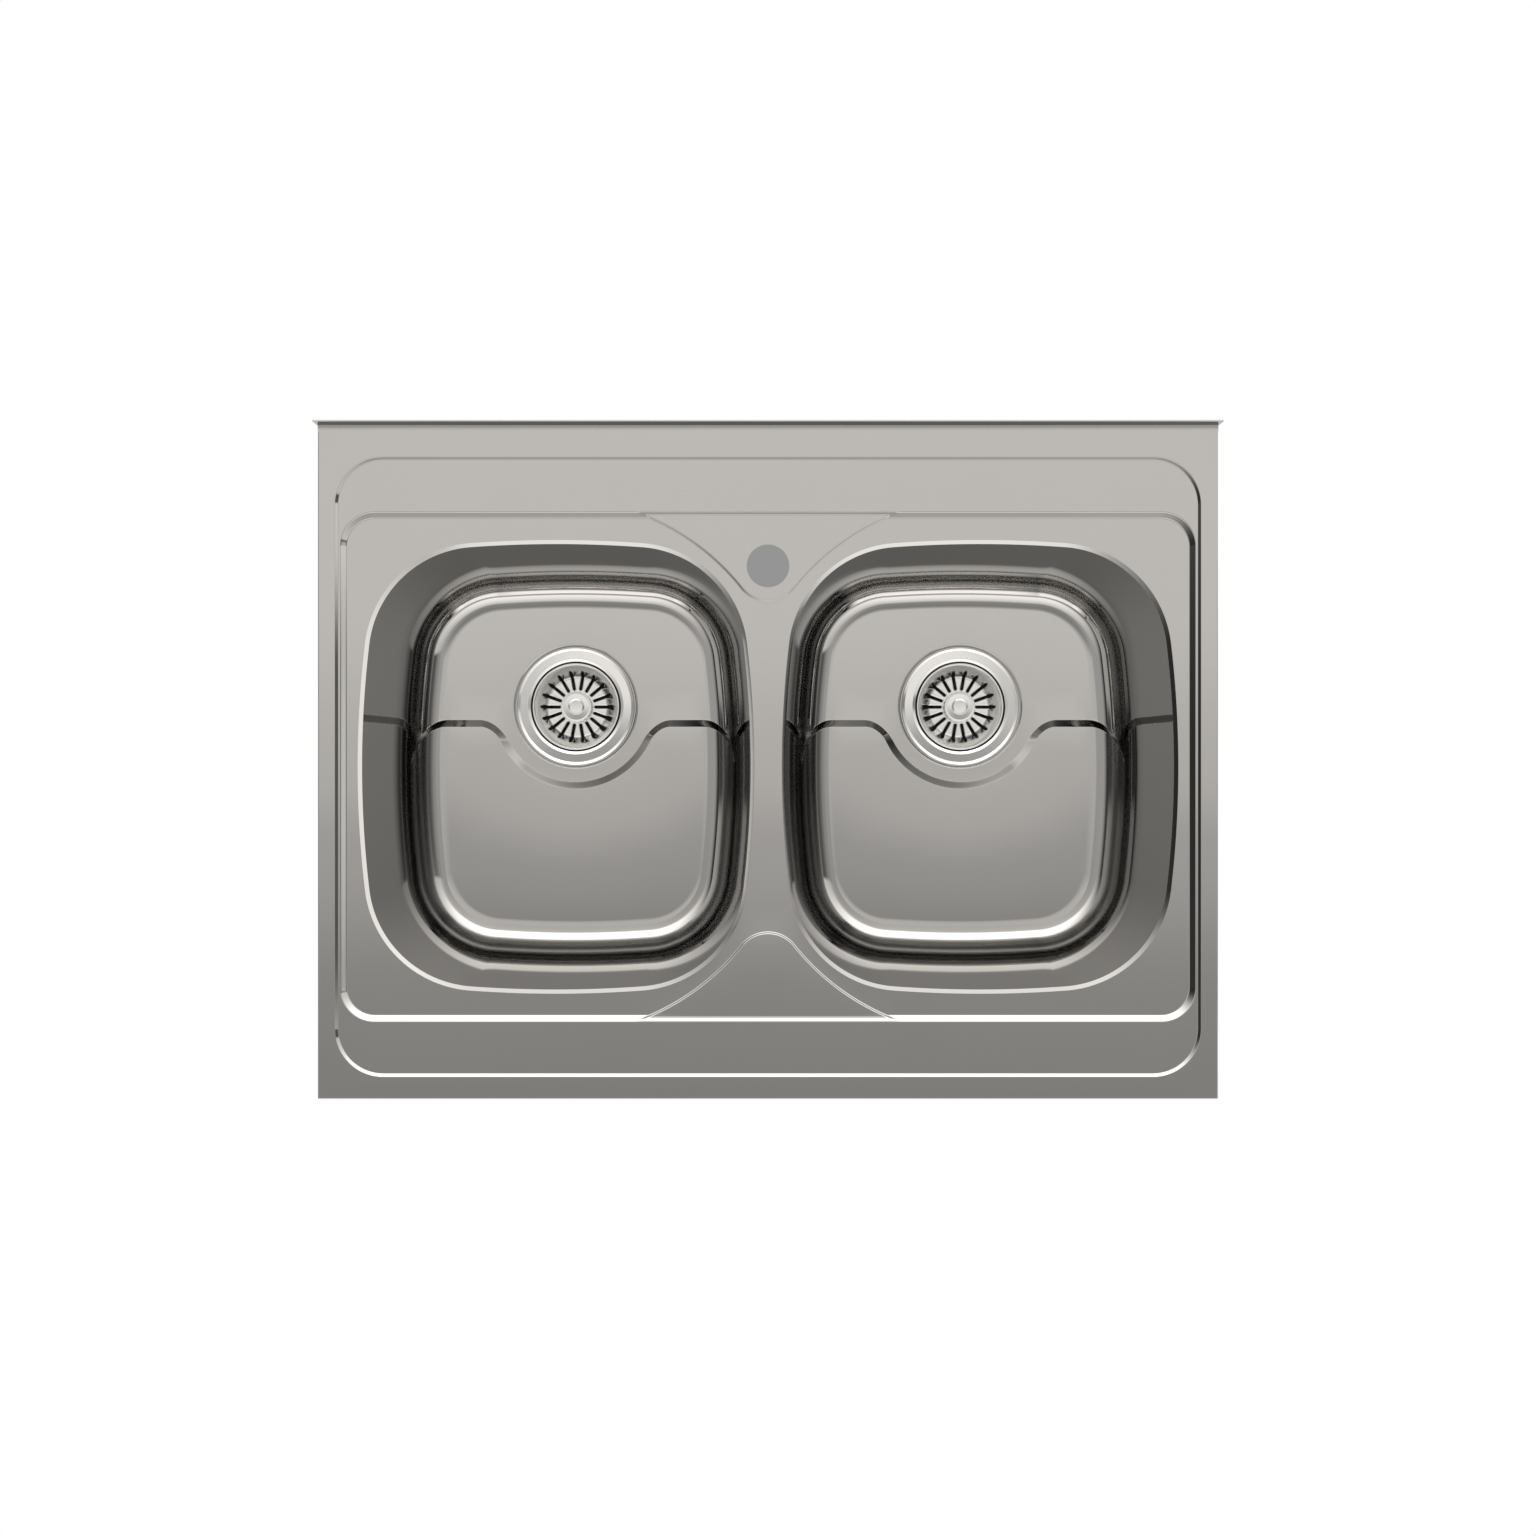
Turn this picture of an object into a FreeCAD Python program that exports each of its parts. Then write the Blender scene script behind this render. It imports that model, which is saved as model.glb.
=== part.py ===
"""Lay-on kitchen sink with two bowls, pressed from thin stainless sheet, with its basket wastes.

Millimetres. +X is to the right, +Y to the wall behind the sink, +Z up. The origin is in the middle
of the sink, on the top edge of the cabinet that the sink's return lips rest on.
"""
import FreeCAD, Part
import math
import os

Vector = FreeCAD.Vector

# Sheet and deck
sheet = 0.8
deck_width = 800.0
deck_depth = 600.0
skirt_height = 38.0
fold_radius = 2.2
lip_width = 14.0
upstand_height = 21.0
cove_radius = 4.5
hem_gap = 0.8
hem_leg = 11.0

# Pressed field of the deck: a rim, a middle level, an inner level and two raised islands
field_front_margin = 19.6
field_rear_margin = 22.1
field_side_margin = 14.9
outer_corner = 43.0
outer_drop = 2.0
outer_run = 4.0
middle_band = 44.6
inner_corner = 31.0
inner_drop = 4.0
inner_run = 6.2
press_radius = 2.5
island_rise = 2.0
island_run = 2.4
island_clearance = 12.7
island_tip = 29.6
island_overreach = 12.0

# Bowls, set into the inner level
bowl_gap = 27.6
bowl_side_margin = 16.9
bowl_end_margin = 26.5
bowl_side_arc = 930.0
bowl_end_arc = 1050.0
bowl_corner = 100.0
bowl_depth = 180.0
bowl_rim_radius = 9.0
bowl_flange = 3.0
wall_run = 12.5
rear_floor_radius = 26.0
front_floor_radius = 32.0
floor_step = 5.0
step_run = 7.0
step_circle = 77.5
step_line = 16.7
step_blend = 18.0

# Waste opening in the bowl floor, at a share of the bowl's half length behind its middle
waste_share = 0.2961
waste_hole = 45.0
recess_radius = 61.5
recess_run = 3.0
recess_depth = 1.5

# Tap hole, set in from the rear of the inner level, and the plate under it
tap_setback = 48.3
tap_hole = 19.0
tap_plate_thickness = 3.0
tap_plate_margin = 3.0
tap_plate_clearance = 1.0

# Rails under the deck
rail_clearance = 0.3
rear_rail_flange = 16.0
stiffener_end_gap = 100.0
stiffener_width = 34.0
stiffener_foot = 7.0
stiffener_height = 15.0
stiffener_taper = 3.0
rail_sheet = 1.0

# Sound pads under the raised floors
pad_thickness = 2.5
pad_width = 210.0
pad_from_end = 65.0
pad_from_step = 6.0
pad_corner = 14.0
pad_corner_share = 0.4

# Waste: flange with its cup, seals, body, screw and nut
seal_thickness = 1.2
seal_width = 9.5
flange_radius = 57.3
flange_sheet = 1.0
flange_dome = 1.1
flange_edge = 1.6
mouth_radius = 43.5
mouth_round = 1.5
cup_draft = 1.5
cup_foot_radius = 3.0
collar_radius = 25.0
collar_depth = 8.5
cross_sheet = 1.5
cross_hub = 9.0
cross_spoke = 5.0
cross_spokes = 4
gasket_thickness = 3.0
gasket_clearance = 1.5
body_wall = 2.2
body_flange_radius = 56.0
body_flange_thickness = 3.0
body_cup_depth = 43.0
funnel_depth = 11.0
outlet_radius = 23.9
outlet_wall = 3.4
outlet_length = 26.0
outlet_thread = 17.0
outlet_shoulder = 25.5
hub_radius = 9.0
hub_height = 12.0
hub_rib = 3.0
hub_ribs = 3
nut_radius = 5.5
nut_height = 9.0
nut_flange_radius = 7.0
nut_flange_height = 1.5
screw_radius = 3.0
screw_clearance = 0.15
screw_head_radius = 6.5
screw_head_height = 5.5
screw_end = 3.0
socket_radius = 2.6
socket_depth = 4.8

# Basket with its knob, pin and stopper seal
basket_sheet = 0.7
basket_gap = 0.8
basket_sink = 1.0
basket_rim_width = 1.8
basket_depth = 17.5
basket_floor_radius = 30.0
basket_floor_round = 3.0
slot_count = 18
slot_width = 3.2
slot_inner = 16.5
slot_outer = 35.5
knob_radius = 14.7
knob_height = 13.5
knob_head = 6.0
knob_stem = 6.5
knob_edge = 1.0
knob_groove_radius = 10.6
knob_groove_width = 1.4
knob_groove_depth = 0.7
knob_dome = 1.6
knob_clearance = 0.1
pin_radius = 3.0
pin_running = 0.08
pin_shoulder = 7.0
pin_shoulder_height = 5.5
pin_tip_radius = 2.5
pin_tip_entry = 3.5
pin_top_cover = 2.5
pin_foot_radius = 5.0
pin_foot_height = 1.2
stopper_radius = 28.0
stopper_thickness = 3.0
stopper_lip = 1.0
stopper_clearance = 0.3

cut_overrun = 2.0
tolerance = 1e-4 * sheet

# Levels, from the deck surface down
deck_top = skirt_height
middle_top = deck_top - outer_drop
inner_top = middle_top - inner_drop
island_top = inner_top + island_rise
floor_top = inner_top - bowl_depth
raised_top = floor_top + floor_step
recess_top = floor_top - recess_depth
recess_under = recess_top - sheet

# Rear edge of the deck, where its flat part ends in the cove of the upstand
upstand_front = deck_depth / 2 - 2 * sheet - hem_gap
flat_rear = upstand_front - cove_radius

# Outlines of the pressed field, which follow the deck
field_rear = flat_rear - field_rear_margin
field_front = -deck_depth / 2 + field_front_margin
field_y = (field_rear + field_front) / 2
outer_half_x = deck_width / 2 - field_side_margin
outer_half_y = (field_rear - field_front) / 2
inner_half_x = outer_half_x - outer_run
inner_half_y = outer_half_y - outer_run - middle_band

# Bowls and tap hole, which follow the inner level
bowl_half_x = (inner_half_x - bowl_side_margin - bowl_gap / 2) / 2
bowl_x = bowl_gap / 2 + bowl_half_x
bowl_half_y = inner_half_y - bowl_end_margin
waste_y = waste_share * bowl_half_y
tap_y = field_y + inner_half_y - tap_setback

# Heights of the basket and of the flange's cup, measured from the recess
flange_under = recess_top + seal_thickness
flange_top = flange_under + flange_sheet
basket_rim_top = flange_top + flange_dome / 2 - basket_sink
basket_floor_top = basket_rim_top - basket_depth
basket_floor_under = basket_floor_top - basket_sheet
shoulder_top = basket_floor_under - knob_clearance
shoulder_under = shoulder_top - pin_shoulder_height
stopper_under = shoulder_under - stopper_thickness
cup_floor_top = stopper_under - stopper_clearance
cross_top = cup_floor_top - collar_depth
body_flange_top = recess_under - gasket_thickness
body_cup_floor = body_flange_top - body_cup_depth
funnel_under = body_cup_floor - funnel_depth
outlet_under = funnel_under - outlet_length
screw_head_top = cross_top + screw_head_height


def box(x0, x1, y0, y1, z0, z1):
    """A block between two corners."""
    return Part.makeBox(x1 - x0, y1 - y0, z1 - z0, Vector(x0, y0, z0))


def cylinder(radius, z0, z1, x=0.0, y=0.0):
    """An upright cylinder."""
    return Part.makeCylinder(radius, z1 - z0, Vector(x, y, z0))


def cone(radius0, radius1, z0, z1, x=0.0, y=0.0):
    """An upright cone, radius0 at z0 and radius1 at z1."""
    return Part.makeCone(radius0, radius1, z1 - z0, Vector(x, y, z0))


def polar(radius, angle, centre_x=0.0, centre_y=0.0):
    """The point at an angle in radians on a circle, as x and y."""
    return centre_x + radius * math.cos(angle), centre_y + radius * math.sin(angle)


def arc_edge(centre, radius, start, end, z):
    """A level arc from one angle to another, in radians."""
    points = [polar(radius, a, *centre) for a in (start, (start + end) / 2, end)]
    return Part.Arc(*[Vector(x, y, z) for x, y in points]).toShape()


def line_edge(start, end):
    """A straight edge between two points."""
    return Part.LineSegment(start, end).toShape()


def prism(wire, height):
    """A solid from a closed level outline, raised by a height that may be negative."""
    return Part.Face(wire).extrude(Vector(0, 0, height))


def revolve(points, arcs=()):
    """A turned solid from a closed outline of (radius, z) points.

    arcs names the stretches that are round: {index of the start point: middle point}.
    """
    arcs = dict(arcs)
    corners = [Vector(r, 0, z) for r, z in points]
    edges = []
    for i, start in enumerate(corners):
        end = corners[(i + 1) % len(corners)]
        if i in arcs:
            middle = Vector(arcs[i][0], 0, arcs[i][1])
            edges.append(Part.Arc(start, middle, end).toShape())
        else:
            edges.append(line_edge(start, end))
    face = Part.Face(Part.Wire(edges))
    return face.revolve(Vector(0, 0, 0), Vector(0, 0, 1), 360)


def rounded_rectangle(half_x, half_y, corner, z, centre_y=0.0):
    """A level rectangle with round corners, as four lines and four arcs."""
    cx = half_x - corner
    cy = half_y - corner
    edges = []
    for quarter, (sx, sy) in enumerate([(1, 1), (-1, 1), (-1, -1), (1, -1)]):
        start = quarter * math.pi / 2
        arc = arc_edge((sx * cx, centre_y + sy * cy), corner, start, start + math.pi / 2, z)
        if edges:
            edges.append(line_edge(last, arc.firstVertex().Point))
        edges.append(arc)
        last = arc.lastVertex().Point
    edges.append(line_edge(last, edges[0].firstVertex().Point))
    return Part.Wire(edges)


def bowl_corner_centre():
    """The centre of the corner circle that is tangent to the side arc and to the end arc."""
    side_centre = bowl_half_x - bowl_side_arc
    end_centre = bowl_half_y - bowl_end_arc
    side_reach = bowl_side_arc - bowl_corner
    end_reach = bowl_end_arc - bowl_corner
    gap = math.hypot(side_centre, end_centre)
    along = (side_reach**2 - end_reach**2 + gap**2) / (2 * gap)
    off = math.sqrt(side_reach**2 - along**2)
    ux, uy = -side_centre / gap, end_centre / gap
    return side_centre + along * ux - off * uy, along * uy + off * ux


def bowl_outline(inset, z):
    """The bowl's rim outline, set in by a distance: four flat arcs and four corner arcs."""
    cx, cy = bowl_corner_centre()
    side_centre = bowl_half_x - bowl_side_arc
    end_centre = bowl_half_y - bowl_end_arc
    side_angle = math.atan2(cy, cx - side_centre)
    end_angle = math.atan2(cy - end_centre, cx)
    side = bowl_side_arc - inset
    end = bowl_end_arc - inset
    corner = bowl_corner - inset
    turn = math.pi
    return Part.Wire(
        [
            arc_edge((side_centre, 0), side, -side_angle, side_angle, z),
            arc_edge((cx, cy), corner, side_angle, end_angle, z),
            arc_edge((0, end_centre), end, end_angle, turn - end_angle, z),
            arc_edge((-cx, cy), corner, turn - end_angle, turn - side_angle, z),
            arc_edge((-side_centre, 0), side, turn - side_angle, turn + side_angle, z),
            arc_edge((-cx, -cy), corner, turn + side_angle, turn + end_angle, z),
            arc_edge((0, -end_centre), end, turn + end_angle, 2 * turn - end_angle, z),
            arc_edge((cx, -cy), corner, 2 * turn - end_angle, 2 * turn - side_angle, z),
        ]
    )


def level_edges(solid, z):
    """The solid's edges that lie wholly at a height."""
    found = []
    for edge in solid.Edges:
        bounds = edge.BoundBox
        if abs(bounds.ZMin - z) < tolerance and abs(bounds.ZMax - z) < tolerance:
            found.append(edge)
    return found


def island_side():
    """The place along Y and the radius of the island's side arcs, which are level with a bowl.

    Each keeps a clearance from the bowl's corner and runs out past the inner level's edge.
    """
    corner_x, corner_y = bowl_corner_centre()
    far = inner_half_y + island_overreach
    reach = far - corner_y
    keep = bowl_corner + island_clearance
    arc = (reach**2 + corner_x**2 - keep**2) / (2 * (reach - keep))
    return far - arc, arc


def island_outline(grow, z):
    """The tongue between the bowls: two side arcs, a round tip and a straight back.

    grow widens it all round.
    """
    shift, side_arc = island_side()
    tip_y = shift + math.sqrt((side_arc + island_tip) ** 2 - bowl_x**2)
    lean = math.atan2(tip_y - shift, bowl_x)
    arc = side_arc - grow
    end = math.asin((inner_half_y + island_overreach / 2 - shift) / arc)
    left = arc_edge((-bowl_x, shift), arc, end, lean, z)
    nose = arc_edge((0, tip_y), island_tip + grow, lean - math.pi, -lean, z)
    right = arc_edge((bowl_x, shift), arc, math.pi - lean, math.pi - end, z)
    back = line_edge(right.lastVertex().Point, left.firstVertex().Point)
    return Part.Wire([left, nose, right, back])


def island_space(side):
    """The raised tongue between the bowls, for the rear side (+1) or the front side (-1)."""
    foot = island_outline(island_run / 2, inner_top)
    top = island_outline(-island_run / 2, island_top)
    tongue = Part.makeLoft([foot, top], True, True)
    if side < 0:
        tongue = tongue.mirror(Vector(0, 0, 0), Vector(0, 1, 0))
    return tongue.translated(Vector(0, field_y, 0))


def pocket(half_x, half_y, corner, z, drop, run):
    """A shallow pressed recess with sloping sides and a rounded foot."""
    top = rounded_rectangle(half_x, half_y, corner, z, field_y)
    foot = rounded_rectangle(half_x - run, half_y - run, corner - run, z - drop, field_y)
    recess = Part.makeLoft([top, foot], True, True)
    return recess.makeFillet(press_radius, level_edges(recess, z - drop))


def pressed_field():
    """What the press tool takes out of the deck's flat surface."""
    outer = pocket(outer_half_x, outer_half_y, outer_corner, deck_top, outer_drop, outer_run)
    inner = pocket(inner_half_x, inner_half_y, inner_corner, middle_top, inner_drop, inner_run)
    for side in (1, -1):
        inner = inner.cut(island_space(side))
    return outer.fuse(inner)


def deck_block(inset):
    """The tray's volume up to the cove, with its folded edges rounded, set in by a wall."""
    half = deck_width / 2 - inset
    front = -deck_depth / 2 + inset
    block = box(-half, half, front, flat_rear, inset, deck_top - inset)
    round_edges = []
    for edge in block.Edges:
        bounds = edge.BoundBox
        if bounds.YMin < flat_rear - tolerance:
            round_edges.append(edge)
    return block.makeFillet(fold_radius - inset, round_edges)


def cove_edges(x):
    """The arcs of the cove in a section across the upstand: its face side and its back side."""
    centre = Vector(x, flat_rear, deck_top + cove_radius)
    lean = math.sqrt(0.5)
    arcs = []
    for radius in (cove_radius, cove_radius + sheet):
        foot = centre + Vector(0, 0, -radius)
        middle = centre + Vector(0, radius * lean, -radius * lean)
        arcs.append(Part.Arc(foot, middle, centre + Vector(0, radius, 0)).toShape())
    return arcs


def upstand(x0, x1):
    """The sheet that turns up behind the deck, with its top edge folded back and down."""
    face_cove, back_cove = cove_edges(x0)
    top = deck_top + upstand_height
    rear = deck_depth / 2
    hem_round = (rear - upstand_front) / 2
    round_y = upstand_front + hem_round
    round_z = top - hem_round
    leg_end = top - hem_leg
    outer = Part.Arc(
        Vector(x0, upstand_front, round_z),
        Vector(x0, round_y, top),
        Vector(x0, rear, round_z),
    ).toShape()
    inner = Part.Arc(
        Vector(x0, rear - sheet, round_z),
        Vector(x0, round_y, top - sheet),
        Vector(x0, upstand_front + sheet, round_z),
    ).toShape()
    leg_outside = Vector(x0, rear, leg_end)
    leg_inside = Vector(x0, rear - sheet, leg_end)
    outline = Part.Wire(
        [
            face_cove,
            line_edge(face_cove.lastVertex().Point, outer.firstVertex().Point),
            outer,
            line_edge(outer.lastVertex().Point, leg_outside),
            line_edge(leg_outside, leg_inside),
            line_edge(leg_inside, inner.firstVertex().Point),
            inner,
            line_edge(inner.lastVertex().Point, back_cove.lastVertex().Point),
            back_cove,
            line_edge(back_cove.firstVertex().Point, face_cove.firstVertex().Point),
        ]
    )
    return Part.Face(outline).extrude(Vector(x1 - x0, 0, 0))


def skirt_end(x0, x1):
    """The skirt's last stretch, from the flat deck's end to the back of the upstand."""
    face_cove, back_cove = cove_edges(x0)
    rear = upstand_front + sheet
    outline = Part.Wire(
        [
            line_edge(Vector(x0, flat_rear, 0), Vector(x0, rear, 0)),
            line_edge(Vector(x0, rear, 0), back_cove.lastVertex().Point),
            back_cove,
            line_edge(back_cove.firstVertex().Point, Vector(x0, flat_rear, 0)),
        ]
    )
    return Part.Face(outline).extrude(Vector(x1 - x0, 0, 0))


def place_bowl(shape, side):
    """Moves a shape made about a bowl's centre to the left bowl (-1) or the right bowl (+1)."""
    return shape.translated(Vector(side * bowl_x, field_y, 0))


def place_waste(shape, side):
    """Moves a shape made about a waste's axis to the left waste (-1) or the right waste (+1)."""
    return place_bowl(shape.translated(Vector(0, waste_y, 0)), side)


def make_deck():
    """The deck: pressed field, folded skirt with return lips, and rear upstand, in one sheet."""
    half = deck_width / 2
    field = pressed_field()
    outside = deck_block(0).cut(field)
    inside = deck_block(sheet).cut(field.translated(Vector(0, 0, -sheet)))
    shell = outside.cut(inside)
    reach = half - lip_width
    front = -deck_depth / 2 + lip_width
    rear = flat_rear + cut_overrun
    shell = shell.cut(box(-reach, reach, front, rear, -cut_overrun, sheet + fold_radius))
    pieces = [upstand(-half, half)]
    for x0 in (-half, half - sheet):
        pieces.append(skirt_end(x0, x0 + sheet))
    for x0 in (-half, reach):
        pieces.append(box(x0, x0 + lip_width, flat_rear, upstand_front + sheet, 0, sheet))
    deck = shell.fuse(pieces).removeSplitter()
    low = inner_top - sheet - cut_overrun
    high = island_top + cut_overrun
    hole = prism(bowl_outline(-bowl_flange, low), high - low)
    for side in (-1, 1):
        deck = deck.cut(place_bowl(hole, side))
    return deck.cut(cylinder(tap_hole, low, high, 0, tap_y))


def bowl_space(grow):
    """The room inside a bowl, or with grow the sheet thickness, the outside of its walls.

    The rear zone of the floor is lower. Its edge runs straight across, bulges round the waste,
    and climbs the side walls on the same slope as the step itself.
    """
    slope = wall_run / bowl_depth
    rim_inset = bowl_rim_radius * math.tan((math.pi / 2 - math.atan(slope)) / 2)
    spaces = []
    for floor_z, floor_radius in ((floor_top, rear_floor_radius), (raised_top, front_floor_radius)):
        top = bowl_outline(rim_inset - grow, inner_top)
        foot_inset = rim_inset + slope * (inner_top - floor_z + grow) - grow
        foot = bowl_outline(foot_inset, floor_z - grow)
        room = Part.makeLoft([top, foot], True, True)
        spaces.append(room.makeFillet(floor_radius + grow, level_edges(room, floor_z - grow)))
    rear_room, front_room = spaces
    low = floor_top - grow - cut_overrun
    high = floor_top + rear_floor_radius + front_floor_radius
    lean = step_run / floor_step
    rise_low = low - floor_top + grow
    rise_high = high - floor_top + grow
    line_low = waste_y - step_line + step_run / 2 - lean * rise_low
    line_high = waste_y - step_line + step_run / 2 - lean * rise_high
    circle = step_circle - step_run / 2
    reach = bowl_half_x
    wedge = Part.Face(
        Part.makePolygon(
            [
                Vector(-reach, line_low, low),
                Vector(-reach, bowl_half_y, low),
                Vector(-reach, bowl_half_y, high),
                Vector(-reach, line_high, high),
                Vector(-reach, line_low, low),
            ]
        )
    ).extrude(Vector(2 * reach, 0, 0))
    bulge = cone(circle + lean * rise_low, circle + lean * rise_high, low, high, 0, waste_y)
    zone = wedge.fuse(bulge).removeSplitter()
    seams = [e for e in zone.Edges if is_step_seam(e, low, high)]
    zone = zone.makeFillet(step_blend, seams)
    return front_room.fuse(rear_room.common(zone)).removeSplitter()


def is_step_seam(edge, low, high):
    """Whether an edge is where the step's straight run meets its round bulge."""
    bounds = edge.BoundBox
    tall = bounds.ZMin < low + tolerance and bounds.ZMax > high - tolerance
    return tall and bounds.YMax < waste_y and bounds.XMax - bounds.XMin > tolerance


def waste_recess(grow):
    """The shallow seat round the waste opening, as room above it or below the sheet."""
    return cone(
        recess_radius - recess_run + grow,
        recess_radius + recess_run * cut_overrun / recess_depth + grow,
        recess_top - grow,
        floor_top + cut_overrun - grow,
        0,
        waste_y,
    )


def make_bowl():
    """A deep-drawn bowl with its rim rolled out into a narrow flange, welded into the deck."""
    flange = prism(bowl_outline(-bowl_flange, inner_top - sheet), sheet)
    low = recess_under - cut_overrun
    below = box(-bowl_half_x, bowl_half_x, -bowl_half_y, bowl_half_y, low, inner_top - sheet)
    outside = bowl_space(sheet).fuse(waste_recess(sheet)).common(below)
    body = outside.fuse(flange).removeSplitter()
    body = body.makeFillet(bowl_rim_radius - sheet, rim_edges(body, inner_top - sheet))
    body = body.cut(bowl_space(0).fuse(waste_recess(0)))
    body = body.makeFillet(bowl_rim_radius, rim_edges(body, inner_top))
    return body.cut(cylinder(waste_hole, low, floor_top + cut_overrun, 0, waste_y))


def rim_edges(solid, z):
    """The edges at a height where a bowl's wall meets its flange, which lie inside its outline."""
    outline = Part.Face(bowl_outline(0, z))
    found = []
    for edge in level_edges(solid, z):
        middle = edge.valueAt((edge.FirstParameter + edge.LastParameter) / 2)
        if outline.isInside(middle, tolerance, True):
            found.append(edge)
    return found


def along_x(points, half_length):
    """A straight rail across the sink, from its section as (y, z) points."""
    corners = [Vector(-half_length, y, z) for y, z in points]
    section = Part.Face(Part.makePolygon(corners + corners[:1]))
    return section.extrude(Vector(2 * half_length, 0, 0))


def make_rear_rail():
    """The channel that closes the rear of the deck and carries it on the cabinet's back edge."""
    back = flat_rear
    front = flat_rear - rear_rail_flange
    top = deck_top - sheet
    section = [
        (front, 0),
        (back, 0),
        (back, top),
        (front, top),
        (front, top - rail_sheet),
        (back - rail_sheet, top - rail_sheet),
        (back - rail_sheet, rail_sheet),
        (front, rail_sheet),
    ]
    half = deck_width / 2 - fold_radius - rail_clearance
    rail = along_x(section, half)
    notch = lip_width + rail_clearance - (deck_width / 2 - half)
    for x0 in (-half, half - notch):
        rail = rail.cut(box(x0, x0 + notch, front, back, 0, rail_sheet + rail_clearance))
    return rail


def make_stiffener(side):
    """A hat rail under the deck's middle level, behind (+1) or in front of (-1) the bowls."""
    band = (outer_half_y - outer_run + inner_half_y) / 2
    half = stiffener_width / 2
    neck = half - stiffener_foot
    base = neck - stiffener_taper
    top = middle_top - sheet
    low = top - stiffener_height
    section = [
        (-half, top),
        (-neck, top),
        (-base, low + rail_sheet),
        (base, low + rail_sheet),
        (neck, top),
        (half, top),
        (half, top - rail_sheet),
        (neck + rail_sheet, top - rail_sheet),
        (base + rail_sheet, low),
        (-base - rail_sheet, low),
        (-neck - rail_sheet, top - rail_sheet),
        (-half, top - rail_sheet),
    ]
    rail = along_x(section, deck_width / 2 - stiffener_end_gap)
    return rail.translated(Vector(0, field_y + side * band, 0))


def make_tap_plate():
    """The thick plate under the rear island that stiffens the sheet round the tap hole."""
    top = island_top - sheet
    low = top - tap_plate_thickness
    plate = prism(island_outline(-island_run / 2 - tap_plate_margin, low), tap_plate_thickness)
    plate = plate.translated(Vector(0, field_y, 0))
    rear = field_y + inner_half_y - inner_run
    plate = plate.common(box(-bowl_x, bowl_x, 0, rear, low, top))
    hole = cylinder(tap_hole + tap_plate_clearance, low - cut_overrun, top + cut_overrun, 0, tap_y)
    return plate.cut(hole)


def make_bowl_pad():
    """A sound-deadening pad stuck under the raised part of a bowl's floor."""
    rear = waste_y - step_circle - step_run / 2 - pad_from_step
    front = pad_from_end - bowl_half_y
    half = (rear - front) / 2
    corner = min(pad_corner, pad_corner_share * half)
    outline = rounded_rectangle(pad_width / 2, half, corner, raised_top - sheet, front + half)
    return prism(outline, -pad_thickness)


def round_circle(solid, radius, circle_radius, z):
    """Rounds the circular edge of a given radius at a height."""
    circles = [e for e in level_edges(solid, z) if abs(e.Curve.Radius - circle_radius) < tolerance]
    return solid.makeFillet(radius, circles)


def ring(inner, outer, z0, z1):
    """A flat ring."""
    return cylinder(outer, z0, z1).cut(cylinder(inner, z0, z1))


def make_strainer_flange():
    """The steel flange on the bowl floor, its cup, and the cross at the bottom for the screw."""
    foot = mouth_radius - cup_draft
    middle = (flange_radius - flange_edge + mouth_radius) / 2
    cross_low = cross_top - cross_sheet
    points = [
        (flange_radius, flange_under),
        (flange_radius, flange_under + flange_sheet / 2),
        (flange_radius - flange_edge, flange_top),
        (mouth_radius, flange_top),
        (foot, cup_floor_top),
        (collar_radius, cup_floor_top),
        (collar_radius, cross_low),
        (collar_radius + flange_sheet, cross_low),
        (collar_radius + flange_sheet, cup_floor_top - flange_sheet),
        (foot + flange_sheet, cup_floor_top - flange_sheet),
        (mouth_radius + flange_sheet, flange_under),
    ]
    shell = revolve(points, {2: (middle, flange_top + flange_dome)})
    shell = round_circle(shell, mouth_round, mouth_radius, flange_top)
    shell = round_circle(shell, cup_foot_radius, foot, cup_floor_top)
    outside_round = cup_foot_radius + flange_sheet
    shell = round_circle(shell, outside_round, foot + flange_sheet, cup_floor_top - flange_sheet)
    cross = cylinder(cross_hub, cross_low, cross_top)
    reach = collar_radius + flange_sheet / 2
    for i in range(cross_spokes):
        spoke = box(0, reach, -cross_spoke / 2, cross_spoke / 2, cross_low, cross_top)
        spoke.rotate(Vector(0, 0, 0), Vector(0, 0, 1), (i + 0.5) * 360 / cross_spokes)
        cross = cross.fuse(spoke)
    cross = cross.cut(cylinder(screw_radius + screw_clearance, cross_low, cross_top))
    return shell.fuse(cross).removeSplitter()


def make_flange_seal():
    """The foam ring between the flange and the bowl's recess."""
    outer = flange_radius - flange_sheet
    return ring(outer - seal_width, outer, recess_top, flange_under)


def make_body_gasket():
    """The rubber ring between the underside of the bowl and the waste body."""
    return ring(waste_hole + gasket_clearance, body_flange_radius, body_flange_top, recess_under)


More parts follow.
